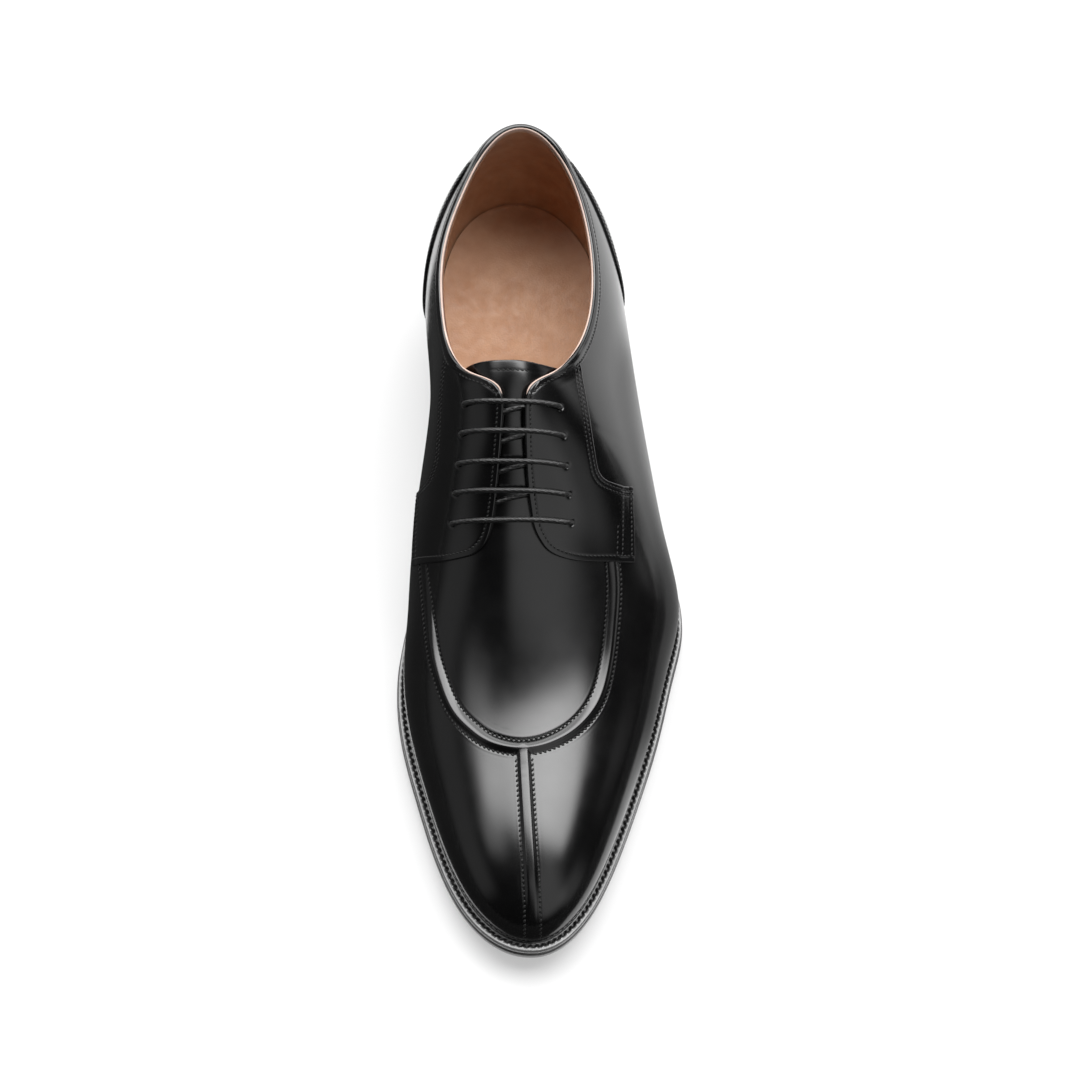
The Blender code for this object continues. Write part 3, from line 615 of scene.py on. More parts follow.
def shift_to_frame():
    """The way from the last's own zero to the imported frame, from the outsole's two outer edges."""
    edge = outsole_edge(np.linspace(0, np.pi, OUTLINE_TURNS), LATERAL)
    low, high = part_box("outsole")
    return np.array([high.x / MM - edge[:, 0].max(), low.y / MM - edge[:, 1].min(), 0.0])


SHIFT = shift_to_frame()


def quads_of(rows, cols, wrap=False):
    """Corners of a grid's faces; a wrapped grid closes from its last column to its first."""
    index = np.arange(rows * cols).reshape(rows, cols)
    if wrap:
        index = np.concatenate([index, index[:, :1]], 1)
    return np.stack([index[:-1, :-1], index[:-1, 1:], index[1:, 1:], index[1:, :-1]], -1).reshape(-1, 4)


def turned(quads):
    """The same faces seen from their other side."""
    return np.roll(quads[:, ::-1], 1, 1)


class Shape:
    """Corners and faces gathered from several grids, in millimetres on the last."""

    def __init__(self):
        self.corners = []
        self.faces = []
        self.count = 0

    def add(self, corners, faces):
        """Corners with faces that count from the first of them."""
        self.corners.append(np.asarray(corners, float).reshape(-1, 3))
        self.faces.append(np.asarray(faces) + self.count)
        self.count += len(self.corners[-1])

    def add_grid(self, grid, out, wrap=False):
        """A sheet from a grid of points, faces turned to the side that out points to."""
        rows, cols = grid.shape[:2]
        quads = quads_of(rows, cols, wrap)
        flat = grid.reshape(-1, 3)
        facing = np.cross(flat[quads[:, 2]] - flat[quads[:, 0]], flat[quads[:, 3]] - flat[quads[:, 1]])
        outward = np.broadcast_to(out, grid.shape).reshape(-1, 3)[quads[:, 0]]
        if (facing * outward).sum() < 0:
            quads = quads[:, ::-1]
        self.add(flat, quads)

    def piece(self, name, look, slot, *nodes, sharp=None, joined=False):
        """The finished piece on the shoe's body, in place of the CAD nodes named."""
        shape = bmesh.new()
        corners = (np.concatenate(self.corners) + SHIFT) * MM
        verts = [shape.verts.new(corner) for corner in corners]
        for face in np.concatenate(self.faces):
            shape.faces.new([verts[i] for i in face])
        if joined:
            bmesh.ops.remove_doubles(shape, verts=shape.verts, dist=JOIN_WITHIN)
        mesh = bpy.data.meshes.new(name)
        shape.to_mesh(mesh)
        shape.free()
        mesh.shade_smooth()
        if sharp:
            mesh.set_sharp_from_angle(angle=radians(sharp))
        mesh.materials.append(look)
        made = bpy.data.objects.new(name, mesh)
        bpy.context.scene.collection.objects.link(made)
        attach(made, "root")
        if nodes:
            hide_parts(*nodes)


def sheet_piece(grid, out, *finish, wrap=False):
    """A piece made of one sheet, with its name, look, an unused slot and the CAD nodes that it replaces."""
    shape = Shape()
    shape.add_grid(grid, out, wrap)
    shape.piece(*finish)


def raised(points, out, lift):
    """Points of a leather's face at a lift, side by side with its outward directions."""
    return np.concatenate([points + out * lift[..., None], out], -1)


def arc_lengths(points):
    """Length along a line of points, from its first one."""
    return np.concatenate([[0], np.cumsum(np.linalg.norm(np.diff(points, axis=0), axis=1))])


def even_spots(points, pitch):
    """Positions along a line, as fractions of its points, a pitch apart."""
    length = arc_lengths(points)
    count = max(2, int(length[-1] / pitch))
    return np.interp((np.arange(count) + 0.5) * length[-1] / count, length, np.arange(len(points)))


def between(values, spots):
    """Rows of an array at positions between them."""
    i = np.clip(spots.astype(int), 0, len(values) - 2)
    f = (spots - i).reshape(-1, *[1] * (values.ndim - 1))
    return values[i] * (1 - f) + values[i + 1] * f


def add_stitches(shape, points, out, stitch):
    """A row of stitches along a line on the leather, each a short rounded thread."""
    spots = even_spots(points, stitch.pitch)
    middle = between(points, spots)
    up = unit(between(out, spots))
    row = unit(between(points, np.minimum(spots + STITCH_LOOK, len(points) - 1))
               - between(points, np.maximum(spots - STITCH_LOOK, 0)))
    along = unit(row + np.cross(row, up) * stitch.slant)
    aside = unit(np.cross(along, up))
    reach, girth = np.array(STITCH_RINGS).T
    girth = girth[:, None]
    around = np.linspace(0, 2 * np.pi, STITCH_SIDES, endpoint=False)
    local_along = np.repeat(reach * stitch.long, STITCH_SIDES)
    local_aside = (girth * np.cos(around) * stitch.wide).ravel()
    arch = np.repeat(-0.5 * reach ** 2, STITCH_SIDES) * stitch.high
    local_up = (girth * np.sin(around) * stitch.high).ravel() + stitch.lift + arch
    corners = (middle[:, None] + along[:, None] * local_along[:, None]
               + aside[:, None] * local_aside[:, None] + up[:, None] * local_up[:, None])
    one = turned(quads_of(len(reach), STITCH_SIDES, wrap=True))
    faces = one[None] + len(local_up) * np.arange(len(middle))[:, None, None]
    shape.add(corners, faces.reshape(-1, 4))


def sew(name, look, slot, stitch, lines):
    """Rows of stitches as one piece; a line holds points and the leather's outward directions."""
    shape = Shape()
    for line in lines:
        add_stitches(shape, line[:, :3], unit(line[:, 3:]), stitch)
    shape.piece(name, look, slot)


def seam_frame(stations, places):
    """Points, outward and sideways directions along a line on the last."""
    points, out = LAST.at(stations, places)
    ahead = unit(np.gradient(points, axis=0))
    return points, out, unit(np.cross(out, ahead))


def apron_line():
    """Stations and places along the apron's crest, evenly spread."""
    knots = np.arange(len(APRON))
    fine = np.linspace(0, len(APRON) - 1, CREST_POINTS)
    stations = spline(knots, [row.station for row in APRON])(fine)
    places = spline(knots, [place_of(row.share, row.side) for row in APRON])(fine)
    points, _ = LAST.at(stations, places)
    spots = even_spots(points, APRON_STEP)
    return between(stations, spots), between(places, spots)


def toe_line():
    """Stations and places down the middle of the toe."""
    turns = np.linspace(turn_of(TOE_SEAM_START), turn_of(TOE_SEAM_END), TOE_GRID[0])
    return station_of(turns), np.ones(TOE_GRID[0])


SEAM_LINES = {"apron": apron_line(), "toe": toe_line()}
SEAM_NEAR = 8.0


def seam_way(points, name):
    """Signed distances from a seam's line, outward counted plus, at points of the last near it."""
    flat = points.reshape(-1, 3)
    crest, _, aside = seam_frame(*SEAM_LINES[name])
    signed = np.full(len(flat), -SEAM_FAR)
    low = crest.min(0) - SEAM_NEAR
    high = crest.max(0) + SEAM_NEAR
    close = np.nonzero(((flat > low) & (flat < high)).all(-1))[0]
    for part in np.array_split(close, max(1, len(close) // SEAM_BATCH)):
        way = flat[part][:, None] - crest[None]
        distance = np.linalg.norm(way, axis=-1)
        nearest = distance.argmin(1)
        number = np.arange(len(part))
        outward = (way[number, nearest] * aside[nearest]).sum(-1) > 0
        signed[part] = np.where(outward, 1, -1) * distance[number, nearest]
    return signed.reshape(points.shape[:-1])


def let_in(points):
    """How far the leather dips under the raised seams, at points of the last."""
    dip = np.zeros(points.shape[:-1])
    for name, trough in (("apron", APRON_TROUGH), ("toe", TOE_TROUGH)):
        way = seam_way(points, name)
        reach = np.where(way > 0, trough.outer, trough.inner)
        close_by = np.clip(1 - np.abs(way) / reach, 0, 1)
        dip = np.minimum(dip, -trough.depth * np.sin(close_by * np.pi / 2) ** 2)
    return dip


def smooth_step(value, start, end):
    """0 up to start, 1 from end on, and a soft rise between."""
    t = np.clip((np.asarray(value, float) - start) / (end - start), 0, 1)
    return t * t * (3 - 2 * t)


def plug_drop(station):
    """How far the plug has sunk under the last at a station."""
    known = np.clip(station, PLUG[0].station, PLUG[-1].station)
    return np.clip(curve(PLUG, "drop")(known), 0, None)


def plug_sink(station, share, side):
    """How far the skin lies under the last: nothing on the foot's sides, the whole drop in the throat."""
    table = columns(FACING_LATERAL if side == LATERAL else FACING_MEDIAL)
    top = int(np.argmax(table["front"])) + 1
    edge = np.interp(station, table["front"][:top], table["front_share"][:top])
    return plug_drop(station) * smooth_step(share, edge - PLUG_BANK_START, edge - PLUG_BANK_END)


def opening_edge(end):
    """Stations and places round the opening's edge, from end to end past the heel's back."""
    half = np.concatenate([station_of(np.linspace(0, turn_of(COLLAR_END), COLLAR_ROWS)),
                           np.arange(THROAT_START, end, THROAT_STEP), [end]])
    lateral = opening_share(half, LATERAL)
    medial = 2 - opening_share(half, MEDIAL)
    return np.concatenate([half[::-1], half[1:]]), np.concatenate([lateral[::-1], medial[1:]])


def rim(points, out, aside, radius, drop):
    """Half a round along an edge, from the leather's outer face over to its inner one."""
    return np.array([points + aside * radius * np.sin(angle) - out * (drop + radius * (1 - np.cos(angle)))
                     for angle in np.linspace(0, np.pi, RIM_ROWS)])


def skin_rows():
    """Stations of the skin's rows, closer together where the opening turns."""
    rows = [station_of(np.linspace(0, np.pi, SKIN_ROWS))]
    rows += [np.arange(*spread) for spread in CLOSE_ROWS]
    return np.unique(np.round(np.concatenate(rows + [[THROAT_END]]), 3))


def make_skin(look):
    """Vamp, plug and quarters: the smooth outer leather up to the opening."""
    shape = Shape()
    stations = skin_rows()[:, None]
    spread = np.linspace(0, 1, SKIN_COLUMNS)[None, :]
    for side in SIDES:
        shares = np.where(stations < PLUG_TOP, opening_share(stations, side), 1.0) * spread
        points, out = LAST.at(stations, place_of(shares, side))
        lift = let_in(points) - plug_sink(stations, shares, side)
        shape.add_grid(points + out * lift[..., None], out)
    points, out, aside = opening_frame(SKIN_RIM_FADE[1])
    thinner = smooth_step(opening_edge(SKIN_RIM_FADE[1])[0], *SKIN_RIM_FADE)[:, None]
    radius = SKIN_RIM + (SKIN_RIM_END - SKIN_RIM) * thinner
    shape.add_grid(rim(points, out, aside, radius, 0.0), aside)
    shape.piece("vamp_and_quarters", look, "upper_leather", "upper", joined=True)


def opening_frame(end):
    """Points and directions along the opening's edge, sideways being into the opening."""
    return seam_frame(*opening_edge(end))


def make_lining(look, edge_look):
    """The lining inside the upper, its pale raw edge just showing at the collar."""
    shape = Shape()
    stations = skin_rows()[::2, None]
    spread = np.linspace(0, 1, LINING_COLUMNS)[None, :]
    depth = 2 * SKIN_RIM + 2 * LINING_RIM
    for side in SIDES:
        tuck = LINING_TUCK * smooth_step(stations, *LINING_TUCKS)
        points, out = LAST.at(stations, place_of((opening_share(stations, side) - tuck) * spread, side))
        shape.add_grid(points - out * depth, -out)
    shape.piece("lining", look, "insole_leather")
    points, out, aside = opening_frame(LINING_END)
    peek = np.full((len(points), 1), LINING_PEEK)
    for start, end, depth_lost in LINING_SINKS:
        peek -= depth_lost * smooth_step(opening_edge(LINING_END)[0], start, end)[:, None]
    edge = rim(points + aside * peek, out, aside, LINING_RIM, LINING_DROP)
    foot = points - out * depth - aside * LINING_FOOT
    sheet_piece(np.concatenate([edge, [foot]]), aside, "lining_edge", edge_look, "insole_leather")


def make_collar_band(look, thread):
    """The narrow band folded over the collar's edge, with its row of stitches."""
    stations, places = opening_edge(BAND_END)
    points, out, aside = opening_frame(BAND_END)
    climb = FACING_SKIVE * FACING_LIFT * smooth_step(stations, *BAND_CLIMB)[:, None]
    climb += COUNTER_LIFT * (1 - smooth_step(stations, *BAND_OVER_COUNTER))[:, None]
    narrow = 1 - BAND_NARROW_SHARE * smooth_step(stations, *BAND_NARROWS)
    sunk = smooth_step(stations, *BAND_SINKS)[:, None]
    loops = []
    for row in BAND_PROFILE:
        line, line_out = LAST.at(*LAST.slide(stations, places, -aside, row.out * narrow))
        loops.append(line + line_out * ((row.lift + climb) * (1 - sunk) + BAND_SUNK * sunk))
        if row.out == BAND_ROW:
            sewn = raised(line, line_out, row.lift + climb[:, 0])[stations < BAND_SINKS[0]]
    radius = (SKIN_RIM + BAND_LIFT / 2 + climb / 2) * (1 - sunk) + BAND_END_RADIUS * sunk
    top = (BAND_LIFT + climb) * (1 - sunk) + BAND_SUNK * sunk
    sheet_piece(np.concatenate([loops, rim(points + out * top, out, aside, radius, 0.0)]), out + aside,
                "collar_band", look, "upper_leather")
    sew("collar_stitches", thread, "upper_leather", UPPER_STITCH, [sewn])


def groove(distance, row):
    """How far a row of stitches pulls the leather in, by the distance from an edge."""
    return GROOVE_DEPTH * np.exp(-((distance - row) / GROOVE_WIDTH) ** 2)


def add_panel(shape, points, out, lift, rounding, foot=EDGE_FOOT):
    """A piece of leather on the last: its face at the lift, and a rounded edge down to its foot."""
    shape.add_grid(points + out * lift[..., None], out)
    rows, cols = lift.shape
    index = np.arange(rows * cols).reshape(rows, cols)
    ring = np.concatenate([index[0, :-1], index[:-1, -1], index[-1, :0:-1], index[:0:-1, 0]])
    edge = points.reshape(-1, 3)[ring]
    edge_out = out.reshape(-1, 3)[ring]
    edge_lift = lift.ravel()[ring][:, None]
    ahead = unit(np.roll(edge, -2, 0) - np.roll(edge, 2, 0))
    aside = unit(np.cross(ahead, edge_out))
    if (aside * (edge - points.reshape(-1, 3).mean(0))).sum() < 0:
        aside = -aside
    loops = [edge + aside * rounding * np.sin(angle)
             + edge_out * (edge_lift - rounding * (1 - np.cos(angle)))
             for angle in np.linspace(0, np.pi / 2, PANEL_EDGE_ROWS)]
    loops.append(edge + aside * rounding + edge_out * foot)
    shape.add_grid(np.array(loops), aside, wrap=True)


def row_distances(points, axis):
    """Distances along the lines of a grid, from their first point and from their last."""
    steps = np.linalg.norm(np.diff(points, axis=axis), axis=-1)
    start = np.zeros_like(np.take(steps, [0], axis))
    forward = np.concatenate([start, np.cumsum(steps, axis)], axis)
    return forward, np.take(forward, [-1], axis) - forward


def line_at(grid, distances, depth):
    """The line across a grid's rows where their distances reach a depth."""
    rows = []
    for row, distance in zip(grid, distances):
        order = np.argsort(distance)
        rows.append([np.interp(depth, distance[order], row[order, k]) for k in range(row.shape[1])])
    return np.array(rows)


def facing_grid(rows, side):
    """Stations and places of a facing, row by row from the collar to the tab's end."""
    table = columns(rows)
    knots = np.arange(len(rows))
    fine = np.linspace(0, len(rows) - 1, FACING_GRID[0])
    edge = {key: spline(knots, column)(fine)[:, None] for key, column in table.items()}
    across = (1 - np.cos(np.linspace(0, np.pi, FACING_GRID[1])))[None, :] / 2
    stations = edge["front"] * (1 - across) + edge["rear"] * across
    shares = edge["front_share"] * (1 - across) + edge["rear_share"] * across
    shares = np.minimum(shares, opening_share(stations, side) - FACING_SET_BACK)
    return stations, place_of(shares, side)


def edge_distances(points, side):
    """How far points of the last lie from the opening's edge on one side, as far as the throat."""
    stations = np.arange(*FACING_TOP)
    edge, _ = LAST.at(stations, place_of(opening_share(stations, side), side))
    return np.array([np.linalg.norm(row[:, None] - edge[None], axis=-1).min(1) for row in points])


def hole(eyelet, side):
    """Station and place of a lace hole."""
    if side == LATERAL:
        return np.array([eyelet.lat, eyelet.lat_share])
    return np.array([eyelet.med, 2 - eyelet.med_share])


def make_facing(name, rows, side, look, thread, node):
    """An eyelet facing with its side tab, its holes drawn in and its rows of stitches."""
    stations, places = facing_grid(rows, side)
    points, out = LAST.at(stations, places)
    from_front, from_rear = row_distances(points, 1)
    from_top = edge_distances(points, side)
    _, from_end = row_distances(points, 0)
    skive = FACING_SKIVE + (THROAT_SKIVE - FACING_SKIVE) * smooth_step(stations[:1], *THROAT_SKIVE_AT)
    lift = FACING_LIFT * (skive + (1 - skive) * smooth_step(from_top, 0, FACING_SKIVE_LENGTH))
    sewn = [(from_front, FACING_FRONT_ROW), (from_top, FACING_TOP_ROW)]
    sewn += [(from_rear, row) for row in FACING_REAR_ROWS] + [(from_end, row) for row in TAB_ROWS]
    for distance, row in sewn:
        lift -= groove(distance, row)
    slot = smooth_step(from_end, TAB_ROWS[0], TAB_ROWS[0] + TAB_SLOT_EDGE)
    lift -= TAB_SLOT_DEPTH * slot * smooth_step(-from_end, -TAB_ROWS[1], TAB_SLOT_EDGE - TAB_ROWS[1])
    for eyelet in EYELETS:
        middle, _ = LAST.at(*hole(eyelet, side))
        close_by = np.clip(1 - np.linalg.norm(points - middle, axis=-1) / EYELET_REACH, 0, 1)
        lift -= EYELET_DIMPLE * np.sin(close_by * np.pi / 2) ** 2
    shape = Shape()
    add_panel(shape, points, out, lift, FACING_ROUND, FACING_FOOT)
    shape.piece(name, look, "facing_leather", node, sharp=FACING_SHARP)
    face = raised(points, out, lift)
    along = face.swapaxes(0, 1)
    below_top = line_at(from_top[..., None], from_front, FACING_FRONT_ROW)[:, 0] > FACING_TOP_ROW + ROW_GAP
    lines = [line_at(face, from_front, FACING_FRONT_ROW)[below_top]]
    top = line_at(along, from_top.T, FACING_TOP_ROW)
    lines.append(top[(stations[0] > FACING_TOP_ROW_START) & (from_front[0] > FACING_FRONT_ROW)])
    lines += [line_at(face, from_rear, row) for row in FACING_REAR_ROWS]
    lines += [line_at(along, from_end.T, row)[TAB_TRIM:-TAB_TRIM] for row in TAB_ROWS]
    if side == LATERAL:
        lines.append(line_at(along, from_end.T, TAB_SHORT_ROW)[TAB_TRIM:FACING_GRID[1] // 2])
    sew(name + "_stitches", thread, "facing_leather", UPPER_STITCH, lines)


def make_counter(look, thread):
    """The heel's outer cover, from one quarter round the back to the other."""
    table = columns(COUNTER)
    edge = spline(turn_of(table["station"]), table["share"])
    reach = turn_of(table["station"][-1])
    turns = reach * np.sin(np.linspace(-np.pi / 2, np.pi / 2, COUNTER_GRID[0]))[:, None]
    rise = np.sin(np.linspace(0, np.pi / 2, COUNTER_GRID[1]))[None, :]
    shares = COUNTER_FOOT + (edge(np.abs(turns)) - COUNTER_FOOT) * rise
    points, out = LAST.at(station_of(np.abs(turns)), np.where(turns >= 0, shares, 2 - shares))
    _, from_top = row_distances(points, 1)
    lift = np.full(points.shape[:2], COUNTER_LIFT)
    for row in COUNTER_ROWS:
        lift -= groove(from_top, row)
    shape = Shape()
    add_panel(shape, points, out, lift, COUNTER_ROUND)
    shape.piece("heel_cover", look, "counter_leather", "heel_counter")
    face = raised(points, out, lift)[COUNTER_TRIM:-COUNTER_TRIM]
    turns, from_top = turns[COUNTER_TRIM:-COUNTER_TRIM, 0], from_top[COUNTER_TRIM:-COUNTER_TRIM]
    lines = [line_at(face, from_top, row)[side * turns > turn_of(COUNTER_SEWN_FROM)]
             for row in COUNTER_ROWS for side in SIDES]
    sew("heel_cover_stitches", thread, "counter_leather", UPPER_STITCH, lines)


def toe_profile():
    """The toe seam's profile on both sides of its crest."""
    return [Profile(-row.out, row.lift) for row in TOE_PROFILE[:0:-1]] + TOE_PROFILE


def profile_lift(profile, way):
    """Height of a seam's leather by the signed distance from its line."""
    lift = curve(profile, "lift", "out")(way)
    return np.where((way < profile[0].out) | (way > profile[-1].out), NO_SEAM, lift)


def apron_lift(points, way):
    """Height of the apron's seam, its inner arm sinking towards the facing."""
    lift = profile_lift(APRON_PROFILE, way)
    arm = (1 - smooth_step(-points[..., 1], *ARM_FADE)) * smooth_step(-points[..., 0], *ARM_ACROSS)
    return np.where(lift > NO_SEAM, lift * (1 - ARM_FADE_SHARE * arm), lift)


def seam_lift(points, own, way):
    """Height of the leather on a seam, run softly together with the other seam's."""
    fade = 1 + TOE_START_SHARE * (1 - smooth_step(-points[..., 1], *TOE_START))
    fade -= TOE_FADE_SHARE * smooth_step(-points[..., 1], *TOE_FADE)
    if own == "apron":
        lift = apron_lift(points, way)
        other = profile_lift(toe_profile(), seam_way(points, "toe")) * fade
    else:
        lift = profile_lift(toe_profile(), way) * fade
        other = apron_lift(points, seam_way(points, "apron"))
    other = other - SEAM_RISE * (1 - smooth_step(other, 0, SEAM_RISE))
    close = np.clip(1 - np.abs(lift - other) / SEAM_BLEND, 0, 1) * smooth_step(other, 0, SEAM_RISE)
    return np.maximum(lift, other) + close ** 2 * SEAM_BLEND / 4


def seam_sheet(name, outs):
    """A raised seam over the last: rows of points with their outward directions."""
    stations, places = SEAM_LINES[name]
    _, _, aside = seam_frame(stations, places)
    rows = [LAST.at(*LAST.slide(stations, places, aside, np.full(len(stations), way))) for way in outs]
    points, out = (np.array(part) for part in zip(*rows))
    way = np.broadcast_to(np.asarray(outs, float)[:, None], points.shape[:2])
    return raised(points, out, seam_lift(points, name, way))


def make_apron(look, thread):
    """The raised seam round the apron, with a row of stitches on either side."""
    sheet = seam_sheet("apron", np.linspace(APRON_PROFILE[0].out, APRON_PROFILE[-1].out, APRON_COLUMNS))
    sheet_piece(sheet[..., :3], sheet[..., 3:], "apron_ridge", look, "seam_leather", "apron_seam")
    inner, outer = seam_sheet("apron", [APRON_STITCH_IN, APRON_STITCH_OUT])
    aside = outer[:, 0] - SECTION_AT["ridge_x"](turn_of(TOE_SEAM_START))
    outer_lines = [outer[side * aside > TOE_STITCH_OUT] for side in SIDES]
    sew("apron_stitches", thread, "seam_leather", SEAM_STITCH, [inner] + outer_lines)


def make_toe_seam(look, thread):
    """The raised seam down the toe, with a row of stitches on either side."""
    outs = np.linspace(-TOE_PROFILE[-1].out, TOE_PROFILE[-1].out, TOE_GRID[1])
    sheet = seam_sheet("toe", outs)
    points, out = sheet[..., :3], sheet[..., 3:]
    for wrinkle in TOE_WRINKLES:
        along = np.exp(-((SEAM_LINES["toe"][0] - wrinkle) / WRINKLE_WIDTH) ** 2)
        across = np.exp(-(outs / WRINKLE_REACH) ** 2)[:, None]
        points = points - out * (WRINKLE_DEPTH * across * along)[..., None]
    sheet_piece(points, out, "toe_ridge", look, "seam_leather", "toe_seam")
    rows = seam_sheet("toe", [TOE_STITCH_OUT, -TOE_STITCH_OUT])
    lines = [row[row[:, 1] < -TOE_STITCH_START] for row in rows]
    sew("toe_stitches", thread, "seam_leather", SEAM_STITCH, lines)


def place_across(station, offset):
    """Place at which the last is offset from the ridge across the foot, lateral counted plus."""
    places = np.linspace(*TONGUE_PLACES)
    points, _ = LAST.at(np.full(places.shape, station), places)
    ridge = SECTION_AT["ridge_x"](turn_of(station))
    return np.interp(-offset, ridge - points[:, 0], places)


def make_tongue(look, thread):
    """The tongue under the facings, with a stitched line along its top edge."""
    first, last = TONGUE[0].station, TONGUE[-1].station
    sides = np.sin(np.linspace(np.pi / 2, -np.pi / 2, TONGUE_GRID[1]))
    down = np.linspace(0, 1, TONGUE_GRID[0])[:, None]
    stations = (first + TONGUE_ARCH * (1 - sides ** 2)) * (1 - down) + last * down
    across = sides * curve(TONGUE, "half_width")(first * (1 - down) + last * down)
    points, out = LAST.at(stations, np.vectorize(place_across)(stations, across))
    points = points - out * curve(TONGUE, "drop")(stations)[..., None]
    from_top, _ = row_distances(points, 0)
    lift = -TONGUE_GROOVE * groove(from_top, TONGUE_ROW)
    shape = Shape()
    add_panel(shape, points, out, lift, TONGUE_ROUND, -TONGUE_THICK)
    shape.add_grid(points - out * TONGUE_THICK, -out)
    shape.piece("tongue_leather", look, "tongue_leather", "tongue")
    line = line_at(raised(points, out, lift).swapaxes(0, 1), from_top.T, TONGUE_ROW)
    sew("tongue_stitches", thread, "tongue_leather", UPPER_STITCH, [line[np.abs(sides) < TONGUE_ROW_SHARE]])


def sole_line(turns, side, offset, height):
    """A line along one side of the sole, at an offset from the feather line and at a height."""
    line = feather_line(turns, side, offset(turns, side))
    line[:, 2] = height(turns)
    return line


def ring_of(turns, offset, height):
    """One loop round the sole: lateral side to the toe, medial side back to the heel."""
    lateral, medial = (sole_line(turns, side, offset, height) for side in SIDES)
    return np.concatenate([lateral, medial[-2:0:-1]])


def from_ledge(amount):
    """Offset that follows the welt's edge, some way inside it."""
    return lambda turns, side: ledge(turns, side) - amount


def from_feather(amount):
    """The same offset all round, outside the feather line."""
    return lambda turns, side: np.full(turns.shape, float(amount))


def under_feather(below):
    """Height that follows the feather line, some way below it."""
    return lambda turns: SECTION_AT["feather"](turns) - below


def level(height):
    """The same height all over."""
    return lambda turns: np.full(turns.shape, float(height))


def outsole_underside(turns):
    """Flat on the floor at the ball, rising at the arch and the toe."""
    return np.maximum(SECTION_AT["feather"](turns) - OUTSOLE_TOP - OUTSOLE_THICK, 0.0)


def sole_turns(count):
    """Turns from heel to toe for the sole's loops."""
    return np.linspace(0, np.pi, count)


def welt_offset(inward):
    """Offset from the welt's edge inward, as a share of the way to just inside the feather line."""
    return lambda turns, side: ledge(turns, side) - inward * np.maximum(
        ledge(turns, side) + WELT_UNDER_UPPER, WELT_LEAST)


def welt_loop(inward, below):
    """A closed loop round the welt, at a share of the way inward and some way below its top."""
    loop = ring_of(sole_turns(WELT_TURNS), welt_offset(inward), under_feather(WELT_TOP + below))
    return np.concatenate([loop, loop[:1]])


def make_welt(look, channel_look, thread):
    """The welt: a black channel with stitches and pressed bars, and a rounded lip outside it.  The lip's
    paler grey is a painted highlight on its upturned face.
    """
    length = arc_lengths(welt_loop(0, 0))
    bars = int(length[-1] / BAR_PITCH)
    spots = np.interp(np.arange(bars * BAR_COLUMNS) / BAR_COLUMNS * length[-1] / bars,
                      length, np.arange(len(length)))
    loops = []
    for row in WELT_PROFILE:
        loop = between(welt_loop(row.inward, row.below), spots)
        phase = np.arange(len(spots)) / BAR_COLUMNS + BAR_SLANT * row.inward
        off = phase - np.round(phase)
        loop[:, 2] += row.bar * BAR_HEIGHT * np.exp(-(off / BAR_WIDTH) ** 2)
        loops.append(loop)
    channel, lip = np.array(loops[:LIP_STARTS + 1]), np.array(loops[LIP_STARTS:])
    sheet_piece(channel, UP, "welt_channel", channel_look, "welt_leather", wrap=True)
    sheet_piece(lip, UP, "welt_strip", look, "welt_leather", "welt", wrap=True)
    middles = between(welt_loop(STITCH_CHANNEL, STITCH_BELOW), spots)[BAR_COLUMNS // 2::BAR_COLUMNS]
    sewn = middles[middles[:, 1] < -HEEL_BREAST]
    row = np.concatenate([sewn, np.broadcast_to(UP, sewn.shape)], 1)
    sew("welt_stitches", thread, "welt_leather", WELT_STITCH, [row])


def across_sole(lateral, medial):
    """Rows of points from a line on the lateral side to one on the medial side."""
    across = np.linspace(0, 1, CAP_COLUMNS)[:, None, None]
    return lateral * (1 - across) + medial * across


def add_sole_cap(shape, turns, offset, height, out):
    """A sheet across the sole between its two edges."""
    edges = [sole_line(turns, side, offset, height) for side in SIDES]
    shape.add_grid(across_sole(*edges), out)


def add_layer(shape, turns, profile, closed):
    """The side of a layer of the sole, with its top and its underside."""
    loops = np.array([ring_of(turns, offset, height) for offset, height in profile])
    middle = loops.mean((0, 1))
    out = (loops - middle) * np.array([1.0, 1.0, 0.0])
    if closed:
        shape.add_grid(loops, out, wrap=True)
    else:
        half = len(turns)
        shape.add_grid(loops[:, :half], out[:, :half])
        medial = np.concatenate([loops[:, half - 1:], loops[:, :1]], 1)
        shape.add_grid(medial, medial - middle)
    add_sole_cap(shape, turns, *profile[0], UP)
    add_sole_cap(shape, turns, *profile[-1], -UP)


def make_outsole(look):
    """The leather outsole with its rounded edge."""
    profile = [(from_ledge(row.inward), outsole_side(row.down)) for row in OUTSOLE_SIDE]
    shape = Shape()
    add_layer(shape, sole_turns(SOLE_TURNS), profile, True)
    shape.piece("outsole_leather", look, "sole_leather", "outsole", sharp=SOLE_SHARP)


def outsole_side(share):
    """Height between the outsole's top and its underside."""
    return lambda turns: ((SECTION_AT["feather"](turns) - OUTSOLE_TOP) * (1 - share)
                          + outsole_underside(turns) * share)


def heel_turns():
    """Turns from the heel's back to its breast."""
    return np.linspace(0, turn_of(HEEL_BREAST), HEEL_TURNS)


def heel_height(share):
    """Height between the outsole and the top lift."""
    return lambda turns: outsole_underside(turns) * (1 - share) + TOP_LIFT_THICK * share


def heel_piece(profile, *finish):
    """A layer of the heel with its plain upright front."""
    shape = Shape()
    turns = heel_turns()
    add_layer(shape, turns, profile, False)
    edges = [np.concatenate([sole_line(turns[-1:], side, *row) for row in profile])
             for side in SIDES]
    shape.add_grid(across_sole(*edges), np.array([0.0, -1.0, 0.0]))
    shape.piece(*finish, sharp=SOLE_SHARP)


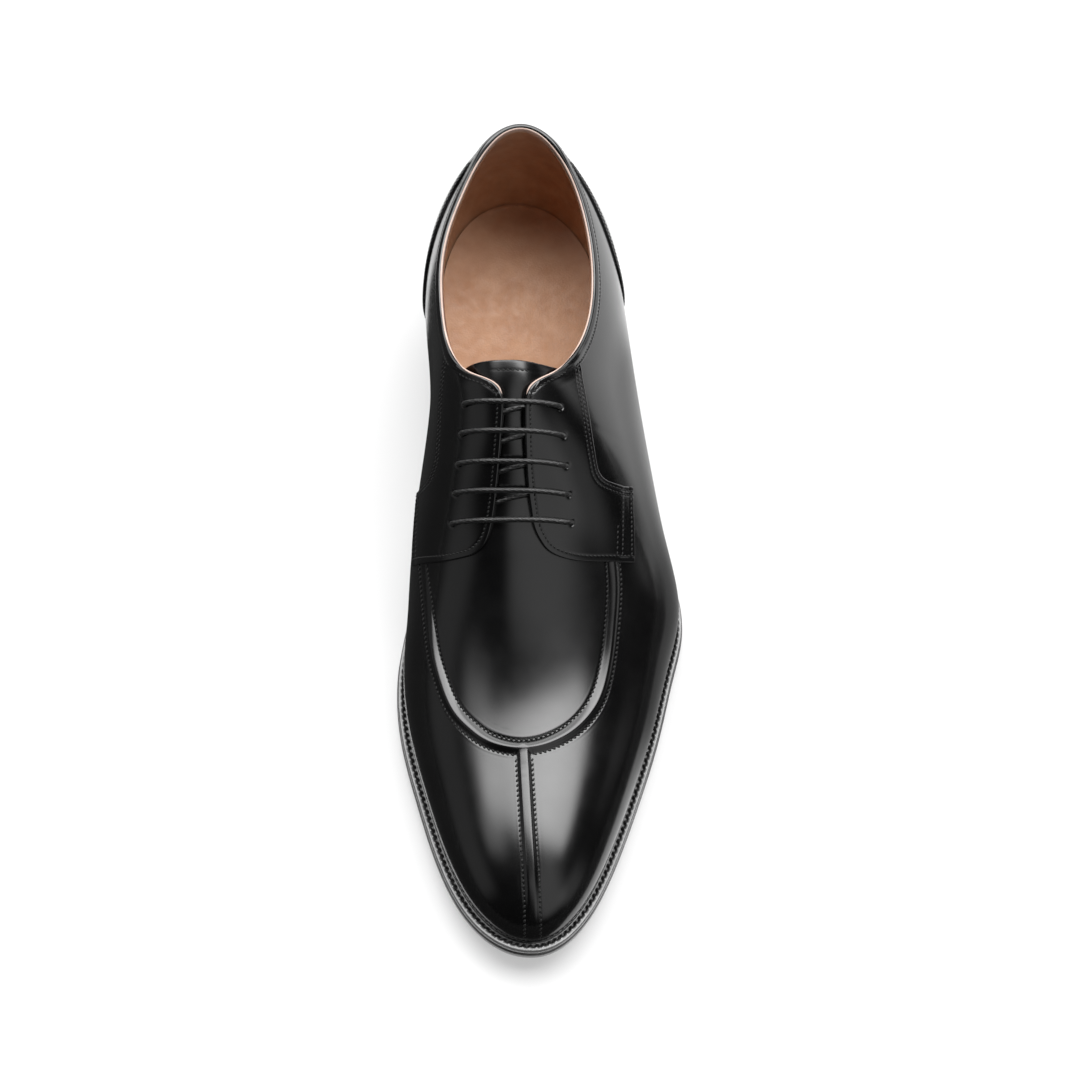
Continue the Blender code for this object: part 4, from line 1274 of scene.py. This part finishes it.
def make_heel(look, rubber):
    """The stacked heel, its lifts parted by fine lines, and the rubber top lift."""
    profile = []
    for number in range(LIFTS):
        for row in LIFT_SIDE:
            share = (number + row.down) / LIFTS
            inward = OUTSOLE_SET_IN + HEEL_TAPER * share + row.inward
            profile.append((from_ledge(inward), heel_height(share)))
    heel_piece(profile, "heel_lifts", look, "heel_leather", "heel_stack")
    set_in = OUTSOLE_SET_IN + HEEL_TAPER
    profile = [(from_ledge(set_in + row.inward), level(row.down)) for row in TOP_LIFT_SIDE]
    heel_piece(profile, "top_lift", rubber, "heel_rubber", "heel_top_lift")


def make_insole(look):
    """The sock on the insole, softly dished towards the heel."""
    turns = np.linspace(0.0, np.pi - SOCK_END, SOCK_GRID[0])
    inset = np.full(turns.shape, -SOCK_INSET)
    lateral, medial = (feather_line(turns, side, inset) for side in SIDES)
    across = np.linspace(-1, 1, SOCK_GRID[1])[:, None, None]
    grid = (lateral * (1 - across) + medial * (1 + across)) / 2
    grid[..., 2] += INSOLE_RISE + SOCK_DISH * across[..., 0] ** 4 - SOCK_DIP
    shape = Shape()
    shape.add_grid(grid, UP)
    add_sole_cap(shape, turns, from_feather(-INSOLE_INSET), under_feather(SOCK_UNDERSIDE), -UP)
    shape.piece("sock", look, "insole_leather", "insole")


def lace_route():
    """Bars over the facings, and slanting runs below them from hole to hole."""
    shares = np.linspace(*LACE_BETWEEN, LACE_POINTS)
    route = [lace_point(hole(EYELETS[0], MEDIAL), hole(EYELETS[0], LATERAL), 0.0, LACE_UNDER)]
    for number, row in enumerate(EYELETS):
        medial, lateral = hole(row, MEDIAL), hole(row, LATERAL)
        route += hole_bend(medial, lateral, 0.0, LACE_UNDER, LACE_OVER)
        for share in shares:
            sag = LACE_SAG * np.sin(np.pi * share) ** 2
            route.append(lace_point(medial + [sag, 0], lateral + [sag, 0], share, LACE_OVER - sag))
        route += hole_bend(medial, lateral, 1.0, LACE_OVER, LACE_UNDER)
        for following in EYELETS[number + 1:number + 2]:
            goal = hole(following, MEDIAL)
            for share in shares[::-1]:
                station = goal[0] + (lateral[0] - goal[0]) * share
                rest = min(LACE_RADIUS + LACE_REST - plug_drop(station), LACE_TOP)
                middle = np.sin(np.pi * share) ** 2
                route.append(lace_point(goal, lateral, share, LACE_UNDER + (rest - LACE_UNDER) * middle))
    return np.array(route + hidden_end())


def hidden_end():
    """The lace's second end, under the outer facing from the lowest hole up to the top one."""
    low, high = hole(EYELETS[-1], LATERAL), hole(EYELETS[0], LATERAL)
    stations, places = np.linspace(low, high, LACE_END_POINTS)[1:].T
    points, out = LAST.at(stations, places - LACE_END_ASIDE)
    return list(points + out * LACE_UNDER)


def lace_point(medial, lateral, share, lift):
    """A point between a medial and a lateral hole, lifted off the last."""
    station, place = medial + (lateral - medial) * share
    point, out = LAST.at(station, place)
    return point + out * lift


def hole_bend(medial, lateral, end, start_lift, end_lift):
    """The lace turning through a hole, from one side of the wall to the other."""
    inward = 1.0 if end == 0.0 else -1.0
    bend = []
    for share in np.linspace(0, 1, LACE_BEND_POINTS):
        curl = LACE_CURL * (2 * abs(share - 0.5)) ** 3
        lift = start_lift + (end_lift - start_lift) * share
        bend.append(lace_point(medial, lateral, end + inward * curl, lift))
    return bend


def make_lace(look):
    """One round braided cord along the whole route."""
    route = lace_route()
    knots = np.cumsum(np.concatenate([[0], np.sqrt(np.linalg.norm(np.diff(route, axis=0), axis=1))]))
    fine = np.linspace(0, knots[-1], LACE_FINE)
    path = np.stack([spline(knots, column)(fine) for column in route.T], -1)
    path = between(path, even_spots(path, LACE_STEP))
    ahead = unit(np.gradient(path, axis=0))
    aside = unit(np.cross(ahead, LACE_ASIDE))
    up = np.cross(aside, ahead)
    around = np.linspace(0, 2 * np.pi, LACE_SIDES, endpoint=False)
    travel = 2 * np.pi * arc_lengths(path)[:, None] / BRAID_PITCH
    strands = np.maximum(np.cos(BRAID_TURNS * around + travel), np.cos(BRAID_TURNS * around - travel))
    radius = LACE_RADIUS * (1 + BRAID_RELIEF * strands - BRAID_RELIEF)
    grid = (path[:, None] + aside[:, None] * (radius * np.cos(around))[..., None]
            + up[:, None] * (radius * np.sin(around))[..., None])
    sheet_piece(grid, grid - path[:, None], "lace_cord", look, "lace_cord", "lace", wrap=True)


def set_inputs(tree, node, inputs):
    """Sets inputs of a node, each to a value or to another node's output."""
    for key, value in inputs.items():
        if isinstance(value, bpy.types.NodeSocket):
            tree.links.new(value, node.inputs[key])
        else:
            node.inputs[key].default_value = value


def add_node(tree, kind, output, inputs, **settings):
    """An output of a new node."""
    node = tree.nodes.new("ShaderNode" + kind)
    for key, value in settings.items():
        setattr(node, key, value)
    set_inputs(tree, node, inputs)
    return node.outputs[output]


def new_look(name):
    """A new material, its node tree and its shader."""
    look = bpy.data.materials.new(name)
    look.use_nodes = True
    return look, look.node_tree, look.node_tree.nodes["Principled BSDF"]


class Look:
    """A material of the shoe: two tones and a roughness mixed by noise, and bumps."""

    def __init__(self, name):
        self.material, self.tree, self.shader = new_look(name)
        self.where = add_node(self.tree, "TexCoord", "Object", {})

    def noise(self, size, detail=2.0, stretch=None):
        """Noise with features of a size in millimetres."""
        where = self.where
        if stretch:
            where = add_node(self.tree, "Mapping", "Vector", {"Vector": where, "Scale": stretch})
        return add_node(self.tree, "TexNoise", "Fac",
                        {"Vector": where, "Scale": 1 / (size * MM), "Detail": detail})

    def cells(self, size):
        """Distance to the middle of cells of a size in millimetres, as in leather's grain."""
        return add_node(self.tree, "TexVoronoi", "Distance",
                        {"Vector": self.where, "Scale": 1 / (size * MM)})

    def spread(self, source, low, high):
        """A value taken from the middle of a noise's range to a low and a high end."""
        return add_node(self.tree, "MapRange", "Result", {
            "Value": source, "From Min": NOISE_RANGE[0], "From Max": NOISE_RANGE[1],
            "To Min": low, "To Max": high})

    def finish(self, dark, light, toned_by, roughness, rough_by, *bumps, **inputs):
        """The material, from what mixes its tones and roughness, and bumps with their depths."""
        dark, light = (*dark, 1.0), (*light, 1.0)
        tone = add_node(self.tree, "Mix", 2, {
            "Factor": self.spread(toned_by, 0.0, 1.0), 6: dark, 7: light}, data_type="RGBA")
        normal = {}
        for source, depth in bumps:
            bump = {"Distance": depth * MM, "Height": source, **normal}
            normal = {"Normal": add_node(self.tree, "Bump", "Normal", bump)}
        set_inputs(self.tree, self.shader, {
            "Base Color": tone, "Roughness": self.spread(rough_by, *roughness), **normal,
            **{key.replace("_", " "): value for key, value in inputs.items()}})
        self.material.diffuse_color = light
        return self.material


def polished_leather(name):
    """Black calf, waxed and brushed: fine pores under a soft shine that is not quite even."""
    look = Look(name)
    return look.finish((0.0008, 0.0008, 0.0009), (0.0016, 0.0016, 0.0017), look.noise(14, 3),
                       (0.17, 0.23), look.noise(9, 4), (look.noise(16, 1), 0.02),
                       (look.cells(0.55), 0.003), (look.noise(0.35), 0.002),
                       Coat_Weight=0.4, Coat_Roughness=0.12)


def waxed_thread(name):
    """Waxed black sewing thread."""
    look = Look(name)
    return look.finish((0.002, 0.002, 0.002), (0.006, 0.006, 0.006), look.noise(0.8),
                       (0.45, 0.65), look.noise(0.5), (look.noise(0.25), 0.03),
                       Sheen_Weight=0.05, Specular_IOR_Level=0.3)


def edge_leather(name, dark, light, roughness):
    """Inked sole leather: fine layers along the edge, a little wear."""
    look = Look(name)
    return look.finish(dark, light, look.noise(2.2, 4, (0.35, 0.35, 2.5)),
                       (roughness - 0.08, roughness + 0.1), look.noise(4, 3),
                       (look.noise(0.9, 3, (0.3, 0.3, 2.0)), 0.03), (look.noise(0.3), 0.02),
                       Coat_Weight=0.6, Coat_Roughness=0.2)


def lining_leather(name, dark, light):
    """Undyed calf lining: a matt tan with a fine open grain."""
    look = Look(name)
    return look.finish(dark, light, look.noise(7, 5), (0.45, 0.62), look.noise(3, 3),
                       (look.cells(0.8), 0.05), (look.noise(0.4, 3), 0.03), Sheen_Weight=0.15)


def waxed_cord(name):
    """Waxed black cotton cord."""
    look = Look(name)
    return look.finish((0.003, 0.003, 0.003), (0.008, 0.008, 0.008), look.noise(0.9),
                       (0.26, 0.42), look.noise(0.7), (look.noise(0.3), 0.05),
                       Sheen_Weight=0.05, Specular_IOR_Level=0.55)


def moulded_rubber(name):
    """Black heel rubber with a fine moulded grain."""
    look = Look(name)
    return look.finish((0.014, 0.014, 0.014), (0.026, 0.026, 0.026), look.noise(3, 3),
                       (0.5, 0.68), look.noise(1.5), (look.noise(0.5), 0.05))


def build_shoe():
    """Every piece of the shoe in its material."""
    calf = polished_leather("polished_calf")
    sewing = waxed_thread("sewing_thread")
    # The outsole's edge is the heel's black ink lifted to a paler grey; the lift is a painted reflection of
    # the bright floor.
    ink = edge_leather("inked_edge_and_painted_reflection", (0.055, 0.055, 0.056), (0.095, 0.094, 0.094), 0.30)
    heel_ink = edge_leather("inked_heel", (0.014, 0.014, 0.015), (0.030, 0.030, 0.030), 0.30)
    # The welt's lip is the same leather as its channel; its paler grey is a painted highlight.
    welt = edge_leather("welt_leather", (0.075, 0.075, 0.076), (0.120, 0.120, 0.120), 0.28)
    channel = edge_leather("welt_channel", (0.006, 0.006, 0.006), (0.014, 0.014, 0.014), 0.34)
    lining = lining_leather("lining_calf", (0.42, 0.20, 0.09), (0.52, 0.28, 0.15))
    raw_edge = lining_leather("raw_edge", (0.48, 0.34, 0.28), (0.58, 0.45, 0.39))
    sock = lining_leather("sock_calf", (0.44, 0.22, 0.11), (0.53, 0.29, 0.16))
    make_skin(calf)
    make_lining(lining, raw_edge)
    make_collar_band(calf, sewing)
    make_facing("facing_panel_lateral", FACING_LATERAL, LATERAL, calf, sewing, "facing_lateral")
    make_facing("facing_panel_medial", FACING_MEDIAL, MEDIAL, calf, sewing, "facing_medial")
    make_counter(calf, sewing)
    make_apron(calf, sewing)
    make_toe_seam(calf, sewing)
    make_tongue(calf, sewing)
    make_welt(welt, channel, sewing)
    make_outsole(ink)
    make_heel(heel_ink, moulded_rubber("heel_rubber"))
    make_insole(sock)
    make_lace(waxed_cord("waxed_cord"))


# The photograph's camera: how steeply it looks down and from how far, its focal length and sensor,
# and what it is aimed at, on the last's own axes
CAMERA_DOWN = radians(65.0)
CAMERA_AWAY = 1400.0
CAMERA_LENS = 124.66
CAMERA_SENSOR = 36.0
CAMERA_SEES = 20.0
CAMERA_TARGET = (-48.9, -147.05, 30.0)
SHOE_YAW = radians(0.457)
SHOE_PIVOT = -150.0
AIM_ASIDE = radians(2.25)


def make_camera():
    """The camera where the photograph was taken from, turned to put this shoe in the middle."""
    data = bpy.data.cameras.new("camera")
    data.lens = CAMERA_LENS
    data.sensor_width = CAMERA_SENSOR
    data.clip_end = CAMERA_SEES
    camera = bpy.data.objects.new("camera", data)
    bpy.context.scene.collection.objects.link(camera)
    pivot = Matrix.Translation(Vector((SHIFT[0], SHIFT[1] + SHOE_PIVOT, 0.0)) * MM)
    back = Vector((0.0, -np.cos(CAMERA_DOWN), np.sin(CAMERA_DOWN))) * CAMERA_AWAY
    spot = (Vector(CAMERA_TARGET) + Vector(SHIFT) + back) * MM
    straight = Matrix.Translation(spot) @ Matrix.Rotation(np.pi / 2 - CAMERA_DOWN, 4, "X")
    swung = pivot @ Matrix.Rotation(-SHOE_YAW, 4, "Z") @ pivot.inverted() @ straight
    camera.matrix_world = swung @ Matrix.Rotation(-AIM_ASIDE, 4, "Y")
    bpy.context.scene.camera = camera


# Studio lights: soft-edged panels far off.  Each one's middle is tilted from straight up towards a
# heading (0 is the outer side, 90 the heel); wide, high and soft are half its size and its edge's
# width, all in degrees.
Panel = namedtuple("Panel", "tilt heading wide high soft radiance")
PANELS = rows_of(Panel, [
    (18, 80, 36, 16, 6, 6.8),
    (20, 45, 13, 11, 8, 1.4),
    (30, 177, 7, 10, 7, 1.7),
    (48, 84, 30, 15, 6, 3),
    (44, -55, 19, 28, 10, 0.72),
    (70, -26, 12, 14, 8, 0.42),
    (74, 14, 6, 9, 5, 0.8),
    (66, 190, 22, 16, 9, 0.30),
    (68, 88, 42, 15, 9, 1.6),
])
FLOOR_SIZE = 40.0
FLOOR_GLOW = 0.42
FLOOR_COLOUR = (0.40, 0.40, 0.40, 1.0)
FLOOR_ROUGHNESS = 0.7
WHITE = (1.0, 1.0, 1.0, 1.0)
SKY = 0.03
# A panel is left out of directions that point less than this its way
LEAST_AHEAD = 0.01
# A dark card on the floor, seen only in the leather's gloss: painted shade, a dark reflection in the
# shoe's sides and toe where they would mirror the bright floor.  Its outer corners, in metres, before
# and after the edge that follows the sole from the outer side's ball round the toe to the inner
# side's heel, and how near that edge comes to the sole, in millimetres by station
CARD_BEFORE = [(8.0, -8.0), (8.0, 1.0), (0.30, 0.03), (0.18, -0.01), (0.12, -0.06), (0.08, -0.12),
               (0.045, -0.166)]
CARD_AFTER = [(-5.2, 8.0), (-8.0, 8.0), (-8.0, -8.0)]
CARD_BALL = 300.0
CARD_HEEL = 52.0
CARD_GAP = ((170.0, 250.0, 292.0), (2.5, 6.0, 11.0))
CARD_HEIGHT = 0.0005
CARD_POINTS = 60
PAINTED_SHADE_BLACK = {"Base Color": (0.01, 0.01, 0.01, 1.0), "Roughness": 0.9}
# The floor beside the outer side lies in shade: rows slanting back from the sole, by the station where
# they start, and how far out they reach.  It fades in from the heel, out from the sole and out at the
# toe, and is deeper before the ball, most of all far out.
SHADE_SLANT = 0.2
SHADE_ROWS = (20.0, 260.0)
SHADE_REACH = (40.0, 2000.0)
SHADE_NEAR = 0.47
SHADE_FADE_IN = (42.0, 66.0)
SHADE_FADE_OUT = (55.0, 160.0)
SHADE_BALL = (118.0, 156.0)
SHADE_BALL_NEAR = 0.5
SHADE_BALL_FAR = 0.4
SHADE_BALL_GROWS = (60.0, 200.0)
SHADE_TOE = (225.0, 260.0)
SHADE_HEIGHT = 0.0008
SHADE_GRID = (81, 48)
SHADE_EDGE_POINTS = 300


def math_node(tree, operation, *values):
    """The result of a sum on numbers or outputs."""
    return add_node(tree, "Math", "Value", dict(enumerate(values)), operation=operation)


def along_axis(tree, direction, axis):
    """How far a direction points along an axis."""
    return add_node(tree, "VectorMath", "Value", {0: direction, 1: axis}, operation="DOT_PRODUCT")


def panel_light(tree, direction, panel):
    """One panel's radiance by direction, fading out over its soft edge."""
    tilt, heading = radians(panel.tilt), radians(panel.heading)
    middle = Vector((np.sin(tilt) * np.cos(heading), np.sin(tilt) * np.sin(heading), np.cos(tilt)))
    side = Vector((-np.sin(heading), np.cos(heading), 0.0))
    ahead = math_node(tree, "MAXIMUM", along_axis(tree, direction, middle), LEAST_AHEAD)
    light = panel.radiance
    for axis, half in ((side, panel.wide), (middle.cross(side), panel.high)):
        off = math_node(tree, "DIVIDE", along_axis(tree, direction, axis), ahead)
        edge = add_node(tree, "MapRange", "Result", {
            "Value": math_node(tree, "ABSOLUTE", off), "From Min": np.tan(radians(half - panel.soft)),
            "From Max": np.tan(radians(half + panel.soft)), "To Min": 1.0, "To Max": 0.0},
            interpolation_type="SMOOTHSTEP")
        light = math_node(tree, "MULTIPLY", edge, light)
    return light


def make_lights():
    """Soft panels round the shoe in a dim room."""
    world = bpy.data.worlds.new("studio")
    world.use_nodes = True
    tree = world.node_tree
    direction = add_node(tree, "TexCoord", "Generated", {})
    total = SKY
    for panel in PANELS:
        total = math_node(tree, "ADD", panel_light(tree, direction, panel), total)
    set_inputs(tree, tree.nodes["Background"], {"Color": WHITE, "Strength": total})
    bpy.context.scene.world = world


def stage_sheet(name, corners, faces, look_name, inputs, only_gloss=False):
    """A sheet of the studio, in metres, that may be seen in the leather's gloss only."""
    mesh = bpy.data.meshes.new(name)
    mesh.from_pydata(corners, [], faces)
    look, tree, shader = new_look(look_name)
    set_inputs(tree, shader, inputs)
    mesh.materials.append(look)
    sheet = bpy.data.objects.new(name, mesh)
    bpy.context.scene.collection.objects.link(sheet)
    for ray in ("camera", "diffuse", "shadow", "transmission") if only_gloss else ():
        setattr(sheet, "visible_" + ray, False)
    return mesh, tree, shader


def make_floor():
    """A plain pale floor."""
    half = FLOOR_SIZE / 2
    corners = [(-half, -half, 0), (half, -half, 0), (half, half, 0), (-half, half, 0)]
    stage_sheet("floor", corners, [(0, 1, 2, 3)], "floor_paint", {
        "Base Color": FLOOR_COLOUR, "Roughness": FLOOR_ROUGHNESS, "Emission Color": WHITE,
        "Emission Strength": FLOOR_GLOW})


def card_edge(side, first, last):
    """The card's edge along one side of the sole, between two stations."""
    turns = np.linspace(turn_of(first), turn_of(last), CARD_POINTS)
    line = outsole_edge(turns, side, np.interp(station_of(turns), *CARD_GAP))
    return [tuple(spot) for spot in (line[:, :2] + SHIFT[:2]) * MM]


def make_painted_shade_card():
    """A dark card on the floor round the front and the inner side: painted shade, seen only in the
    leather's gloss.
    """
    edge = card_edge(LATERAL, CARD_BALL, LAST_LENGTH) + card_edge(MEDIAL, LAST_LENGTH, CARD_HEEL)[1:]
    corners = [(x, y, CARD_HEIGHT) for x, y in CARD_BEFORE + edge + CARD_AFTER]
    stage_sheet("painted_shade_card", corners, [range(len(corners))], "painted_shade_black", PAINTED_SHADE_BLACK, only_gloss=True)


def make_shade():
    """Shade on the floor beside the outer side."""
    rows = np.linspace(*SHADE_ROWS, SHADE_GRID[0])[:, None]
    across = np.geomspace(*SHADE_REACH, SHADE_GRID[1])[None, :]
    x, y = np.broadcast_arrays(across, SHADE_SLANT * across - rows)
    edge = outsole_edge(sole_turns(SHADE_EDGE_POINTS), LATERAL)[:, :2]
    past = np.linalg.norm(np.stack([x, y], -1)[..., None, :] - edge, axis=-1).min(-1)
    near = SHADE_NEAR * smooth_step(rows, *SHADE_FADE_IN) * (1 - smooth_step(past, *SHADE_FADE_OUT))
    ball = SHADE_BALL_NEAR + SHADE_BALL_FAR * smooth_step(past, *SHADE_BALL_GROWS)
    light = (1 - near) * (1 - ball * smooth_step(rows, *SHADE_BALL))
    shade = (1 - light) * (1 - smooth_step(rows, *SHADE_TOE))
    corners = (np.stack([x, y, np.zeros(x.shape)], -1) + SHIFT) * MM + [0, 0, SHADE_HEIGHT]
    faces = turned(quads_of(*x.shape)).tolist()
    mesh, tree, shader = stage_sheet("floor_shade", corners.reshape(-1, 3).tolist(), faces, "shade",
                                     PAINTED_SHADE_BLACK, only_gloss=True)
    mesh.attributes.new("shade", "FLOAT", "POINT").data.foreach_set("value", shade.ravel())
    amount = add_node(tree, "Attribute", "Fac", {}, attribute_name="shade")
    set_inputs(tree, shader, {"Alpha": amount})


build_shoe()
make_camera()
make_lights()
make_floor()
make_painted_shade_card()
make_shade()
bpy.context.scene.view_settings.view_transform = "Standard"
